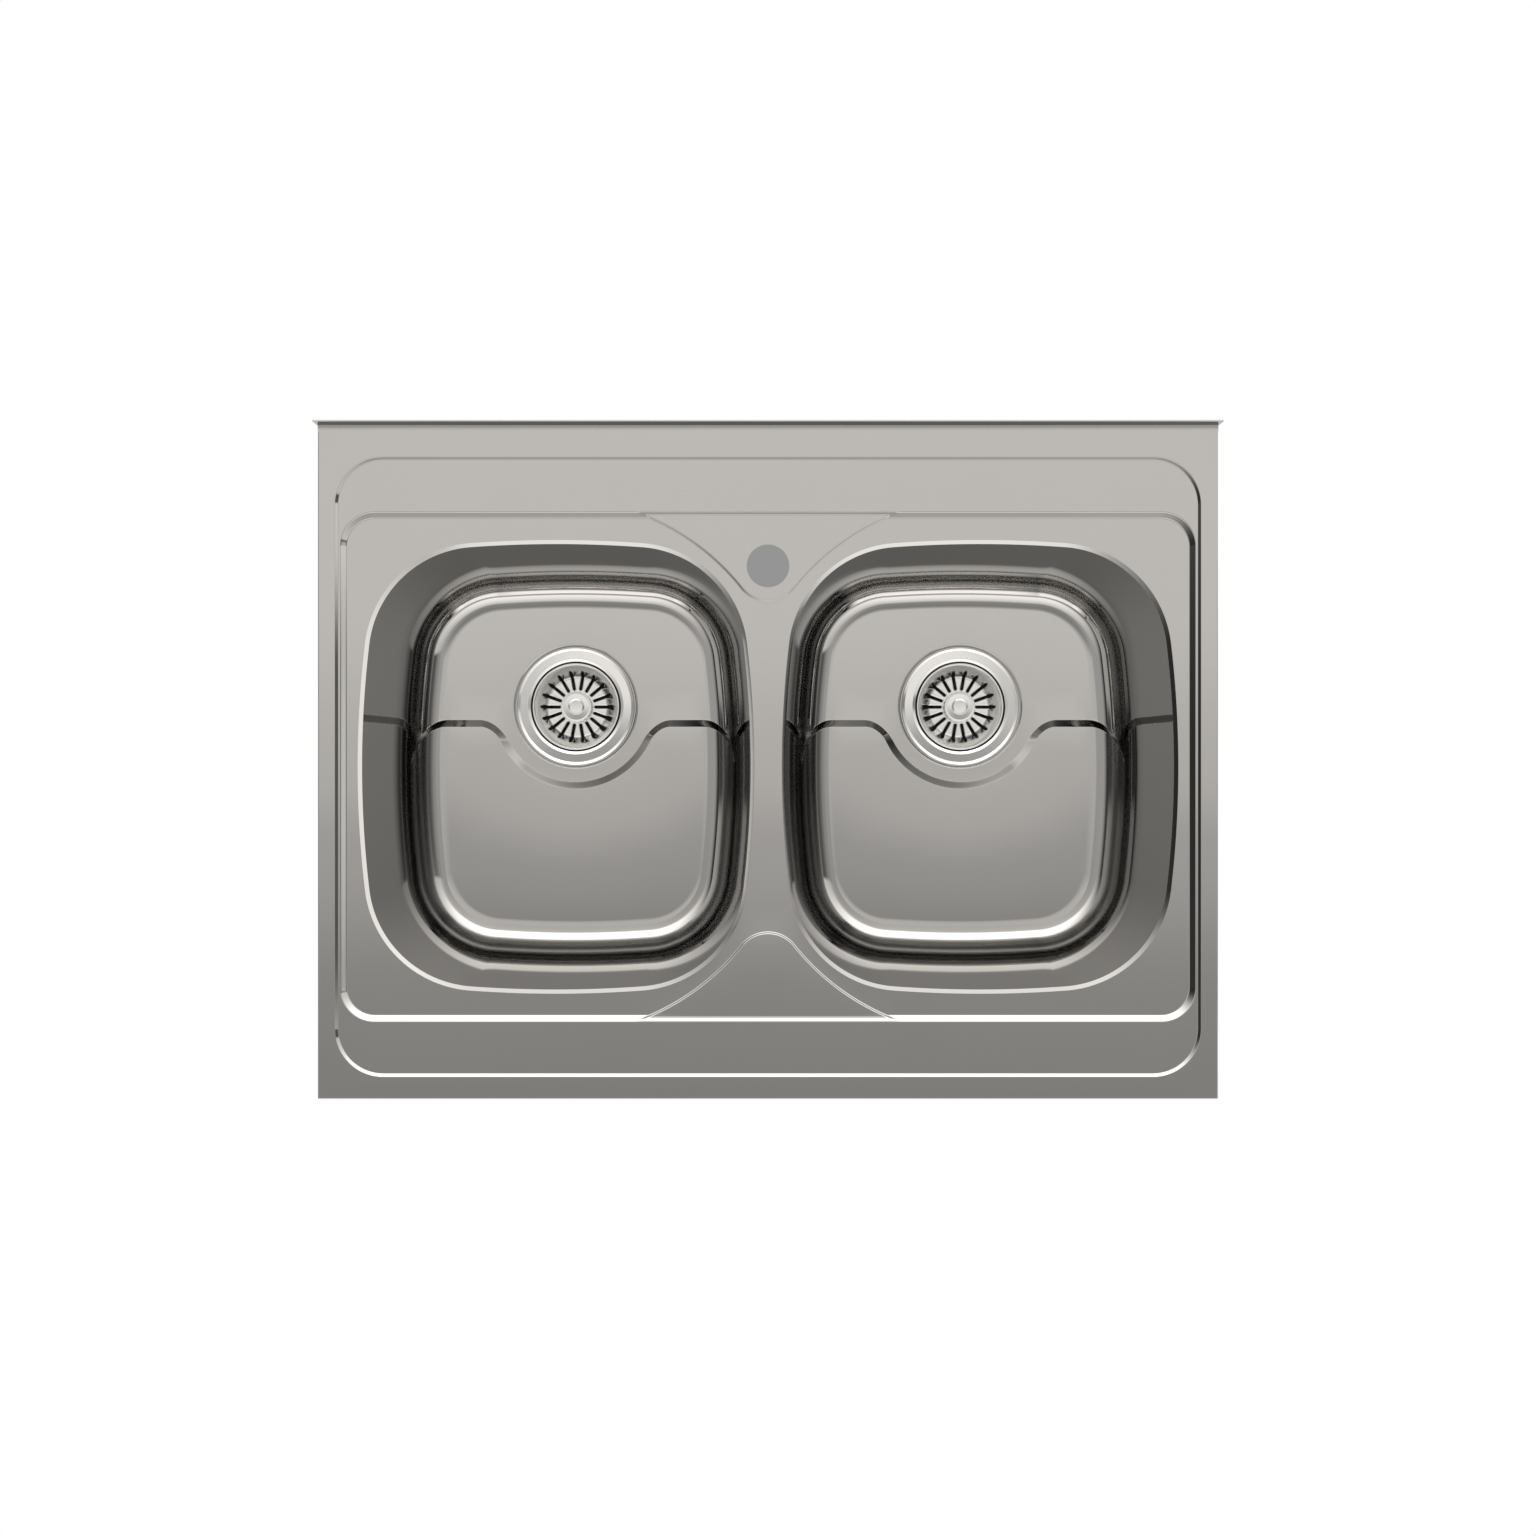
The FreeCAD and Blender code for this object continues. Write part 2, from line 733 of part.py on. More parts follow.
def make_waste_body():
    """The moulded body under the bowl, down to the threaded outlet that a trap screws on to."""
    inner = waste_hole + gasket_clearance
    bore = outlet_radius - outlet_wall
    flange_low = body_flange_top - body_flange_thickness
    thread_top = outlet_under + outlet_thread
    points = [
        (inner, body_flange_top),
        (body_flange_radius, body_flange_top),
        (body_flange_radius, flange_low),
        (inner + body_wall, flange_low),
        (inner + body_wall, body_cup_floor),
        (outlet_shoulder, funnel_under),
        (outlet_shoulder, thread_top),
        (outlet_radius, thread_top),
        (outlet_radius, outlet_under),
        (bore, outlet_under),
        (bore, funnel_under + body_wall),
        (inner, body_cup_floor + body_wall),
    ]
    body = revolve(points)
    hub_low = funnel_under - hub_height
    hub = cylinder(hub_radius, hub_low, funnel_under)
    reach = outlet_radius - outlet_wall / 2
    for i in range(hub_ribs):
        rib = box(0, reach, -hub_rib / 2, hub_rib / 2, hub_low, funnel_under)
        rib.rotate(Vector(0, 0, 0), Vector(0, 0, 1), 90 + i * 360 / hub_ribs)
        hub = hub.fuse(rib)
    hub = hub.cut(cylinder(screw_radius + screw_clearance, hub_low, funnel_under))
    hub = hub.cut(cylinder(nut_radius + screw_clearance, hub_low, hub_low + nut_height))
    return body.fuse(hub).removeSplitter()


def make_centre_nut():
    """The brass insert in the body's hub that the centre screw pulls against."""
    low = funnel_under - hub_height
    bore = screw_radius + screw_clearance
    points = [
        (bore, low - nut_flange_height),
        (nut_flange_radius, low - nut_flange_height),
        (nut_flange_radius, low),
        (nut_radius, low),
        (nut_radius, low + nut_height),
        (bore, low + nut_height),
    ]
    return revolve(points)


def make_centre_screw():
    """The screw that clamps flange and body together, with a socket for the basket's pin."""
    low = funnel_under - hub_height - nut_flange_height - screw_end
    points = [
        (0, low),
        (screw_radius, low),
        (screw_radius, cross_top),
        (screw_head_radius, cross_top),
        (screw_head_radius, screw_head_top),
        (socket_radius, screw_head_top),
        (socket_radius, screw_head_top - socket_depth),
        (0, screw_head_top - socket_depth),
    ]
    return revolve(points)


def make_basket():
    """The slotted basket: a rolled rim, a sloping side and a flat floor with radial slots."""
    rim = mouth_radius - basket_gap
    side = rim - basket_rim_width
    low = basket_floor_under
    points = [
        (pin_radius + pin_running, low),
        (basket_floor_radius + basket_sheet, low),
        (side + basket_sheet, basket_rim_top - basket_sheet),
        (rim, basket_rim_top - basket_sheet),
        (rim, basket_rim_top),
        (side, basket_rim_top),
        (basket_floor_radius, basket_floor_top),
        (pin_radius + pin_running, basket_floor_top),
    ]
    basket = revolve(points)
    basket = round_circle(basket, basket_floor_round, basket_floor_radius, basket_floor_top)
    outside_round = basket_floor_round + basket_sheet
    basket = round_circle(basket, outside_round, basket_floor_radius + basket_sheet, low)
    half = slot_width / 2
    start = slot_inner + half
    end = slot_outer - half
    low = low - cut_overrun
    high = basket_rim_top - basket_sheet - cut_overrun
    slot = box(start, end, -half, half, low, high)
    slot = slot.fuse([cylinder(half, low, high, start), cylinder(half, low, high, end)]).removeSplitter()
    slots = []
    for i in range(slot_count):
        slots.append(slot.rotated(Vector(0, 0, 0), Vector(0, 0, 1), i * 360 / slot_count))
    return basket.cut(slots)


def make_knob():
    """The finger knob in the middle of the basket, with a ring groove in its domed head."""
    base = basket_floor_top + knob_clearance
    top = base + knob_height
    under = top - knob_head
    crown = (knob_radius**2 + knob_dome**2) / (2 * knob_dome)

    def on_dome(radius):
        return radius, top - crown + math.sqrt(crown**2 - radius**2)

    groove_side = knob_groove_width / 2
    groove_z = on_dome(knob_groove_radius)[1] - knob_groove_depth
    rounded = on_dome(knob_radius - knob_edge)
    points = [
        (0, top),
        (0, top - pin_top_cover),
        (pin_radius, top - pin_top_cover),
        (pin_radius, base),
        (knob_stem, base),
        (knob_stem, under),
        (knob_radius - knob_edge, under),
        (knob_radius, under + knob_edge),
        (knob_radius, rounded[1] - knob_edge),
        rounded,
        on_dome(knob_groove_radius + groove_side),
        (knob_groove_radius, groove_z),
        on_dome(knob_groove_radius - groove_side),
    ]
    arcs = {
        9: on_dome((knob_radius - knob_edge + knob_groove_radius + groove_side) / 2),
        12: on_dome((knob_groove_radius - groove_side) / 2),
    }
    return revolve(points, arcs)


def make_basket_pin():
    """The pin through the basket, with the shoulders that trap the basket and the stopper."""
    base = basket_floor_top + knob_clearance
    top = base + knob_height - pin_top_cover
    foot = stopper_under - pin_foot_height
    tip = screw_head_top - pin_tip_entry
    points = [
        (0, tip),
        (pin_tip_radius, tip),
        (pin_tip_radius, foot),
        (pin_foot_radius, foot),
        (pin_foot_radius, stopper_under),
        (pin_radius, stopper_under),
        (pin_radius, shoulder_under),
        (pin_shoulder, shoulder_under),
        (pin_shoulder, shoulder_top),
        (pin_radius, shoulder_top),
        (pin_radius, top),
        (0, top),
    ]
    return revolve(points)


def make_stopper_seal():
    """The rubber disc under the basket that closes the cup's opening when the knob is pressed."""
    points = [
        (pin_radius, stopper_under),
        (stopper_radius - stopper_thickness, stopper_under),
        (stopper_radius, stopper_under),
        (stopper_radius, stopper_under + stopper_lip),
        (stopper_radius - stopper_thickness, shoulder_under),
        (pin_radius, shoulder_under),
    ]
    return revolve(points)


def make_pieces():
    """Every piece of the sink by its name, in its place."""
    pieces = {
        "deck": make_deck(),
        "rear_rail": make_rear_rail(),
        "front_stiffener": make_stiffener(-1),
        "rear_stiffener": make_stiffener(1),
        "tap_plate": make_tap_plate(),
    }
    bowl_pieces = {"bowl": make_bowl(), "bowl_pad": make_bowl_pad()}
    waste_pieces = {
        "strainer_flange": make_strainer_flange(),
        "flange_seal": make_flange_seal(),
        "body_gasket": make_body_gasket(),
        "waste_body": make_waste_body(),
        "centre_nut": make_centre_nut(),
        "centre_screw": make_centre_screw(),
        "basket": make_basket(),
        "knob": make_knob(),
        "basket_pin": make_basket_pin(),
        "stopper_seal": make_stopper_seal(),
    }
    for hand, side in (("left_", -1), ("right_", 1)):
        for name, shape in bowl_pieces.items():
            pieces[hand + name] = place_bowl(shape, side)
        for name, shape in waste_pieces.items():
            pieces[hand + name] = place_waste(shape, side)
    return pieces


def main():
    os.makedirs("parts", exist_ok=True)
    for name, solid in make_pieces().items():
        print(name, solid.isValid(), len(solid.Solids), round(solid.Volume / 1000, 2), "cm3")
        solid.exportStep("parts/" + name + ".step")


main()
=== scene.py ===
"""Looks of the lay-on kitchen sink: a pressed stainless deck, two drawn bowls and their basket wastes.

Lengths are in millimetres until a mesh is finished, when it is scaled to metres.
"""
import bmesh
import bpy
import math
from mathutils import Matrix, Vector, geometry


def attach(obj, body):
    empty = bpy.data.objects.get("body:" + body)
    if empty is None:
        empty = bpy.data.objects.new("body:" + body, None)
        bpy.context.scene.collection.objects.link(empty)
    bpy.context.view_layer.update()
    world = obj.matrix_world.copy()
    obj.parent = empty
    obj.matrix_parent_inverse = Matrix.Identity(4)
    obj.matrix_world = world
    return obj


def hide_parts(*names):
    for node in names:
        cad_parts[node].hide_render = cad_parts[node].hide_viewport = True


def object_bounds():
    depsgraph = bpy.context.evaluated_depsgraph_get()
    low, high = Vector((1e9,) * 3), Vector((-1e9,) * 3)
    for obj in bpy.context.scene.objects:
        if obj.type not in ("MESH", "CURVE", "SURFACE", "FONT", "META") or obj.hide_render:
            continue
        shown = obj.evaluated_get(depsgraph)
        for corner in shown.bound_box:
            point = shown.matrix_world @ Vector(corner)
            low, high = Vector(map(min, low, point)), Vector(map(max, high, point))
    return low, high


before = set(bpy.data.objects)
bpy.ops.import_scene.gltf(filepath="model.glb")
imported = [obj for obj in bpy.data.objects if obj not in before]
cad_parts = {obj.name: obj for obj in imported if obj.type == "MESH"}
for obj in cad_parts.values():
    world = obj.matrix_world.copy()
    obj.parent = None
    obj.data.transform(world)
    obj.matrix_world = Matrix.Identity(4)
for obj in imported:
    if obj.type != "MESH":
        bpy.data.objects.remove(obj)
size_before = [list(corner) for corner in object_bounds()]

# The studio: a white sweep, a soft sky that darkens to the front, and panels on the sides. The
# camera hangs nearly 1.8 m above the cabinet's edge and looks straight down.
camera_place = (0.0, -0.0058, 1.773)
camera_lens = 45.78
# Each stop is a share of the sky's white at so many degrees from straight up, on one side.
sky_sides = {
    "rear": [(0, 0.77), (36, 0.77), (44, 2.3), (66, 2.3), (74, 1.7), (84, 1.15), (90, 1.15)],
    "front": [(0, 0.32), (26, 0.34), (29, 0.55), (32, 0.8), (36, 1.0), (46, 1.25), (55, 1.4), (60, 0.6),
              (64, 0.45), (68, 0.5), (74, 0.6), (79, 0.6), (84, 1.26), (90, 1.26)],
    "right": [(0, 0.48), (27, 0.48), (45, 0.68), (60, 0.76), (74, 1.05), (80, 1.25), (85, 1.1), (90, 0.3)],
    "left": [(0, 0.48), (44, 0.46), (50, 0.34), (54, 0.14), (57, 0.04), (85, 0.03), (90, 0.12)],
}
# Straight overhead the light changes from front to rear only, by the slope of its direction.
sky_overhead = [(-0.20, 0.31), (-0.167, 0.32), (-0.118, 0.355), (-0.042, 0.51), (0.0, 0.65), (0.08, 0.775),
                (0.20, 0.79)]
overhead_ends = (15.0, 21.0)
# A dark gap between the panels on the right, by the direction's slope to the right and to the rear.
gap_light = 0.12
gap_right = [(0.0, 0.0), (0.45, 0.0), (0.62, 0.5), (0.72, 0.8), (0.80, 1.0), (0.897, 1.0), (0.912, 0.0),
             (1.0, 0.0)]
gap_rear = [(-1.0, 0.0), (-0.16, 0.0), (-0.09, 1.0), (0.05, 1.0), (0.11, 0.0), (1.0, 0.0)]
sky_warmth = (1.025, 1.0, 0.962)
seen_white = 1.05
# The sweep's size and the soft shade on it, in metres from its middle.
floor_half = 6.0
shade_white = 0.30
shade_half = (0.30, 0.22)
shade_fade = 0.11


def wire(tree, value, socket):
    """Puts a number or a colour into a shader socket, or links another node's output to it."""
    if isinstance(value, bpy.types.NodeSocket):
        tree.links.new(value, socket)
    elif isinstance(value, tuple):
        socket.default_value = (*value, 1)
    else:
        socket.default_value = value


def calculate(tree, operation, first, second=0.0, third=0.0):
    """One step of arithmetic between numbers or node outputs."""
    node = tree.nodes.new("ShaderNodeMath")
    node.operation = operation
    for value, socket in zip((first, second, third), node.inputs):
        wire(tree, value, socket)
    return node.outputs[0]


def graph(tree, value, stops, interpolation="EASE"):
    """A smooth curve through stops of input and output."""
    first = stops[0][0]
    span = stops[-1][0] - first
    node = tree.nodes.new("ShaderNodeValToRGB")
    node.color_ramp.interpolation = interpolation
    elements = node.color_ramp.elements
    elements.remove(elements[1])
    for i, (place, level) in enumerate(stops):
        share = (place - first) / span
        stop = elements.new(share) if i else elements[0]
        stop.position = share
        stop.color = (level, level, level, 1)
    share = calculate(tree, "DIVIDE", calculate(tree, "SUBTRACT", value, first), span)
    tree.links.new(share, node.inputs[0])
    return node.outputs[0]


def blend(tree, share, first, second):
    """A number between two others."""
    change = calculate(tree, "SUBTRACT", second, first)
    return calculate(tree, "MULTIPLY_ADD", change, share, first)


def grey(tree, level, warmth=(1.0, 1.0, 1.0)):
    """A colour of one level, with a slight hue of its own."""
    node = tree.nodes.new("ShaderNodeCombineColor")
    for share, socket in zip(warmth, node.inputs):
        tree.links.new(calculate(tree, "MULTIPLY", level, share), socket)
    return node.outputs[0]


def tint(tree, value, low, high):
    """A colour that runs from one to another as a value goes from 0 to 1."""
    node = tree.nodes.new("ShaderNodeMix")
    node.data_type = "RGBA"
    wire(tree, value, node.inputs["Factor"])
    wire(tree, low, node.inputs[6])
    wire(tree, high, node.inputs[7])
    return node.outputs[2]


def own_place(tree):
    """A piece's own place along x, y and z, in metres."""
    split = tree.nodes.new("ShaderNodeSeparateXYZ")
    tree.links.new(tree.nodes.new("ShaderNodeTexCoord").outputs["Object"], split.inputs[0])
    return split.outputs


def light_studio():
    """The sky, by direction. Seen straight from the camera it is plain white."""
    world = bpy.data.worlds.new("studio")
    bpy.context.scene.world = world
    world.use_nodes = True
    tree = world.node_tree
    direction = tree.nodes.new("ShaderNodeTexCoord").outputs["Generated"]
    split = tree.nodes.new("ShaderNodeSeparateXYZ")
    tree.links.new(direction, split.inputs[0])
    x, y, z = split.outputs
    squares = calculate(tree, "ADD", calculate(tree, "MULTIPLY", x, x), calculate(tree, "MULTIPLY", y, y))
    squares = calculate(tree, "MAXIMUM", squares, 1e-6)
    degrees = calculate(tree, "DEGREES", calculate(tree, "ARCCOSINE", z))
    around = 0.0
    for side, along, sign in (("rear", y, 1.0), ("front", y, -1.0), ("right", x, 1.0), ("left", x, -1.0)):
        toward = calculate(tree, "MAXIMUM", calculate(tree, "MULTIPLY", along, sign), 0.0)
        weight = calculate(tree, "DIVIDE", calculate(tree, "MULTIPLY", toward, toward), squares)
        around = calculate(tree, "MULTIPLY_ADD", weight, graph(tree, degrees, sky_sides[side]), around)
    gap = calculate(tree, "MULTIPLY", graph(tree, x, gap_right), graph(tree, y, gap_rear))
    around = blend(tree, gap, around, gap_light)
    overhead = graph(tree, y, sky_overhead)
    leave = graph(tree, degrees, [(0, 0), (overhead_ends[0], 0), (overhead_ends[1], 1), (90, 1)])
    light = blend(tree, leave, overhead, around)
    seen = tree.nodes.new("ShaderNodeLightPath").outputs["Is Camera Ray"]
    colour = tint(tree, seen, grey(tree, light, sky_warmth), (seen_white, seen_white, seen_white))
    tree.links.new(colour, tree.nodes["Background"].inputs["Color"])


def lay_floor(height):
    """The white sweep, with a soft grey shade where the sink keeps the light off it."""
    sweep = bmesh.new()
    bmesh.ops.create_grid(sweep, x_segments=1, y_segments=1, size=floor_half)
    bmesh.ops.translate(sweep, verts=sweep.verts, vec=(0, 0, height))
    mesh = bpy.data.meshes.new("floor")
    sweep.to_mesh(mesh)
    sweep.free()
    floor = bpy.data.objects.new("floor", mesh)
    bpy.context.scene.collection.objects.link(floor)
    paper = bpy.data.materials.new("white_sweep")
    paper.use_nodes = True
    tree = paper.node_tree
    tree.nodes.clear()
    shade = 1.0
    for along, half in zip(own_place(tree), shade_half):
        away = calculate(tree, "ABSOLUTE", along)
        inside = graph(tree, away, [(0.0, 1.0), (half, 1.0), (half + shade_fade, 0.0), (1.0, 0.0)])
        shade = calculate(tree, "MULTIPLY", shade, inside)
    glow = tree.nodes.new("ShaderNodeEmission")
    tree.links.new(grey(tree, blend(tree, shade, 1.0, shade_white)), glow.inputs["Color"])
    output = tree.nodes.new("ShaderNodeOutputMaterial")
    tree.links.new(glow.outputs[0], output.inputs["Surface"])
    mesh.materials.append(paper)


camera = bpy.data.objects.new("camera", bpy.data.cameras.new("camera"))
camera.data.lens = camera_lens
camera.location = camera_place
bpy.context.scene.collection.objects.link(camera)
bpy.context.scene.camera = camera
bpy.context.scene.view_settings.view_transform = "Standard"
light_studio()
lay_floor(size_before[0][2])

# The deck: one stainless sheet, pressed down in two levels that leave a rim and two raised tongues
# between the bowls. It is folded down to a skirt with a return lip at the front and the sides, and up
# to a hemmed upstand at the rear, and is cut out for the bowls that are welded into it.
sheet = 0.8
deck_half_x = 400.0
deck_half_y = 300.0
deck_top = 38.0
fold_radius = 1.1
fold_corner = 0.1
fold_corner_parts = 6
fold_turn = 10
lip_width = 14.0
upstand_height = 21.0
curl_run = 6.0
curl_lean = 8.0
curl_parts = 4
cove_radius = 0.3
cove_turns = range(18, 91, 8)
hem_radius = 0.8
hem_leg = 11.0
hem_turns = range(-90, 91, 15)
field_y = -4.7
outer_half = (385.1, 275.7)
outer_corner = 43.0
outer_drop = 2.0
outer_run = 3.2
inner_half = (381.1, 227.1)
inner_corner = 31.0
inner_drop = 4.0
inner_run = 6.2
tongue_rise = 2.0
tongue_rear_step = 3.4
tongue_front_step = 5.2
tongue_crease = 2.8
tongue_run = 2.4
tongue_parts = 6
tongue_arc = 211.7
tongue_arc_y = 27.4
tongue_tip = 29.6
tongue_base = 5.0
tap_y = 174.1
tap_radius = 19.0
tap_parts = 72
# A pressed step is straight between its rounds, each this share of its run. It is creased at the stops.
step_bend = 0.2
step_stops = (0.0, 0.05, 0.1, 0.15, 0.2, 0.5, 0.8, 0.85, 0.9, 0.95, 1.0)
slope_reach = 0.02
# The bowls' mouths, and the cut that is welded outside them.
bowl_x = 189.0
bowl_half_x = 175.2
bowl_half_y = 200.6
bowl_side_arc = 930.0
bowl_end_arc = 1050.0
bowl_corner = 100.0
bowl_depth = 180.0
weld_inset = -3.0
# Into how many parts an outline goes: a level's corners and straights, a tongue's flanks and tip, and a
# mouth's sides, corners and ends.
level_corner_parts = 18
level_side_parts = 12
flank_parts = 26
tip_parts = 22
side_parts = 20
corner_parts = 56
end_parts = 16
# Where faces meet more steeply than this, a turned piece keeps a sharp edge.
crease_degrees = 35

inner_top = deck_top - outer_drop - inner_drop
floor_top = inner_top - bowl_depth
flat_x = deck_half_x - fold_radius
flat_front = -deck_half_y + fold_radius
flat_rear = deck_half_y - 2 * hem_radius - cove_radius - curl_run
tongue_tip_y = tongue_arc_y + math.sqrt((tongue_arc + tongue_tip) ** 2 - bowl_x**2)

# The sheet's finish: polished, and duller where the draw leaves its skin at the foot of the bowls'
# walls. Its colour carries painted shade, darker low on the bowls' walls and toward the front of
# their floors. Each stop of these bands is a height over the floor in millimetres and a share; the
# front shade's stops are places to the rear in metres.
steel_low = (0.611, 0.604, 0.594)
steel_high = (0.637, 0.630, 0.620)
steel_shaded = (0.32, 0.316, 0.31)
steel_edge = 0.6
steel_rough = [(0.0, 0.03), (0.3, 0.035), (0.7, 0.055), (1.0, 0.065)]
steel_grain = 1e-7
dull_skin = [(0.0, 0.0), (8.0, 0.0), (14.0, 1.0), (26.0, 1.0), (40.0, 0.0), (200.0, 0.0)]
dull_rough = 0.17
low_wall_shade = [(0.0, 0.0), (8.0, 0.0), (14.0, 1.0), (34.0, 1.0), (95.0, 0.0), (200.0, 0.0)]
floor_shade_band = [(0.0, 1.0), (5.5, 1.0), (8.0, 0.0), (200.0, 0.0)]
floor_front_shade = [(-0.3, 0.38), (-0.19, 0.38), (0.06, 0.0), (0.3, 0.0)]


def ease(share):
    """A smooth step from 0 to 1, level at both ends."""
    share = min(max(share, 0.0), 1.0)
    return share * share * (3 - 2 * share)


def press_step(share, bend=step_bend):
    """A pressed step from 0 to 1: straight, with a short round at both ends."""
    share = min(max(share, 0.0), 1.0)
    if share < bend:
        return share**2 / (2 * bend * (1 - bend))
    if share > 1 - bend:
        return 1 - (1 - share) ** 2 / (2 * bend * (1 - bend))
    return (share - bend / 2) / (1 - bend)


def rectangle_inset(x, y, half, corner):
    """How far a point lies inside a rectangle with round corners."""
    over_x = abs(x) - half[0] + corner
    over_y = abs(y) - half[1] + corner
    outside = math.hypot(max(over_x, 0.0), max(over_y, 0.0))
    return corner - outside - min(max(over_x, over_y), 0.0)


def tongue_inset(x, y):
    """How far a point lies inside the outline of the rear tongue between the bowls."""
    x = abs(x)
    if bowl_x * (y - tongue_tip_y) + (tongue_tip_y - tongue_arc_y) * x < 0:
        return tongue_tip - math.hypot(x, y - tongue_tip_y)
    return math.hypot(x - bowl_x, y - tongue_arc_y) - tongue_arc


def deck_height(x, y):
    """The height of the deck's upper side."""
    y -= field_y
    outer = rectangle_inset(x, y, outer_half, outer_corner)
    inner = rectangle_inset(x, y, inner_half, inner_corner)
    raised = ease(tongue_inset(x, abs(y)) / tongue_run + 0.5) if abs(x) < bowl_x else 0.0
    tongue_step = tongue_rear_step if y > 0 else tongue_front_step
    run = inner_run + (tongue_step - inner_run) * raised
    drop = inner_drop - tongue_rise * raised
    return deck_top - outer_drop * press_step(outer / outer_run) - drop * press_step(inner / run)


def find_bowl_corner():
    """The centre of the arc that joins a bowl's bulged side and end."""
    side_x = bowl_half_x - bowl_side_arc
    end_y = bowl_half_y - bowl_end_arc
    apart = math.hypot(side_x, end_y)
    side_reach = bowl_side_arc - bowl_corner
    end_reach = bowl_end_arc - bowl_corner
    along = (side_reach**2 - end_reach**2 + apart**2) / (2 * apart)
    off = math.sqrt(side_reach**2 - along**2)
    way_x = -side_x / apart
    way_y = end_y / apart
    return side_x + along * way_x - off * way_y, along * way_y + off * way_x


corner_x, corner_y = find_bowl_corner()
side_end = math.atan2(corner_y, corner_x + bowl_side_arc - bowl_half_x)
end_start = math.atan2(corner_y + bowl_end_arc - bowl_half_y, corner_x)


def bowl_inset(x, y):
    """How far a point, measured from a bowl's centre, lies inside the bowl's mouth."""
    x = abs(x)
    y = abs(y)
    side_x = x + bowl_side_arc - bowl_half_x
    end_y = y + bowl_end_arc - bowl_half_y
    if math.atan2(y, side_x) > side_end and math.atan2(end_y, x) < end_start:
        return bowl_corner - math.hypot(x - corner_x, y - corner_y)
    return min(bowl_side_arc - math.hypot(side_x, y), bowl_end_arc - math.hypot(x, end_y))


def slope(height, x, y):
    """How steeply a height rises along x and along y."""
    rise_x = height(x + slope_reach, y) - height(x - slope_reach, y)
    rise_y = height(x, y + slope_reach) - height(x, y - slope_reach)
    return rise_x / (2 * slope_reach), rise_y / (2 * slope_reach)


def arc(centre, radius, start, end, steps):
    """Points along an arc, with angles in radians."""
    angles = [start + (end - start) * i / steps for i in range(steps + 1)]
    return [(centre[0] + radius * math.cos(a), centre[1] + radius * math.sin(a)) for a in angles]


def circle(radius, steps, x=0.0, y=0.0):
    """Points all round a circle."""
    return arc((x, y), radius, 0, 2 * math.pi, steps)[:-1]


def rectangle_loop(half, corner, inset):
    """A rectangle with round corners about the field's centre, set in by a distance."""
    points = []
    for quarter, (side_x, side_y) in enumerate(((1, 1), (-1, 1), (-1, -1), (1, -1))):
        centre = (side_x * (half[0] - corner), side_y * (half[1] - corner) + field_y)
        start = quarter * math.pi / 2
        points += arc(centre, corner - inset, start, start + math.pi / 2, level_corner_parts)
        stride = 2 * (half[quarter % 2] - corner) / level_side_parts
        way = (0, side_x) if quarter % 2 else (-side_y, 0)
        for _ in range(level_side_parts - 1):
            points.append((points[-1][0] + stride * way[0], points[-1][1] + stride * way[1]))
    return points


def tongue_line(grow, side):
    """The outline of a tongue, widened by a distance, from one flank over its tip to the other."""
    lean = math.atan2(tongue_tip_y - tongue_arc_y, bowl_x)
    base = math.asin((inner_half[1] + tongue_base - tongue_arc_y) / (tongue_arc - grow))
    flank = arc((-bowl_x, tongue_arc_y), tongue_arc - grow, base, lean, flank_parts)
    tip = arc((0, tongue_tip_y), tongue_tip + grow, math.pi + lean, 2 * math.pi - lean, tip_parts)
    outline = flank + tip[1:-1] + [(-x, y) for x, y in reversed(flank)]
    return [(x, side * y + field_y) for x, y in outline]


def bowl_loop(inset, side):
    """A bowl's outline, set in by a distance."""
    quarter = arc((bowl_half_x - bowl_side_arc, 0), bowl_side_arc - inset, 0, side_end, side_parts)[:-1]
    quarter += arc((corner_x, corner_y), bowl_corner - inset, side_end, end_start, corner_parts)
    end_centre = (0, bowl_half_y - bowl_end_arc)
    quarter += arc(end_centre, bowl_end_arc - inset, end_start, math.pi / 2, end_parts)[1:]
    half = quarter + [(-x, y) for x, y in reversed(quarter[:-1])]
    loop = half + [(x, -y) for x, y in reversed(half[1:-1])]
    return [(x + side * bowl_x, y + field_y) for x, y in loop]


def press(loops, lines, height, keep):
    """The upper side of a pressed sheet, creased along plan lines and lifted to its height.

    Each point keeps the surface's true direction in the layer named facing.
    """
    points = []
    edges = []
    for line in loops + lines:
        start = len(points)
        points += [Vector(point) for point in line]
        edges += [(start + i, start + i + 1) for i in range(len(line) - 1)]
        if line in loops:
            edges.append((len(points) - 1, start))
    places, _, triangles, *_ = geometry.delaunay_2d_cdt(points, edges, [], 0, 1e-4)
    skin = bmesh.new()
    skin.verts.layers.float_vector.new("way")
    facing = skin.verts.layers.float_vector.new("facing")
    for x, y in places:
        vert = skin.verts.new((x, y, height(x, y)))
        rise_x, rise_y = slope(height, x, y)
        vert[facing] = Vector((-rise_x, -rise_y, 1)).normalized()
    skin.verts.ensure_lookup_table()
    for corners in triangles:
        middle = sum((places[i] for i in corners), Vector((0, 0))) / len(corners)
        if keep(*middle):
            skin.faces.new([skin.verts[i] for i in corners])
    bmesh.ops.delete(skin, geom=[v for v in skin.verts if not v.link_faces], context="VERTS")
    return skin


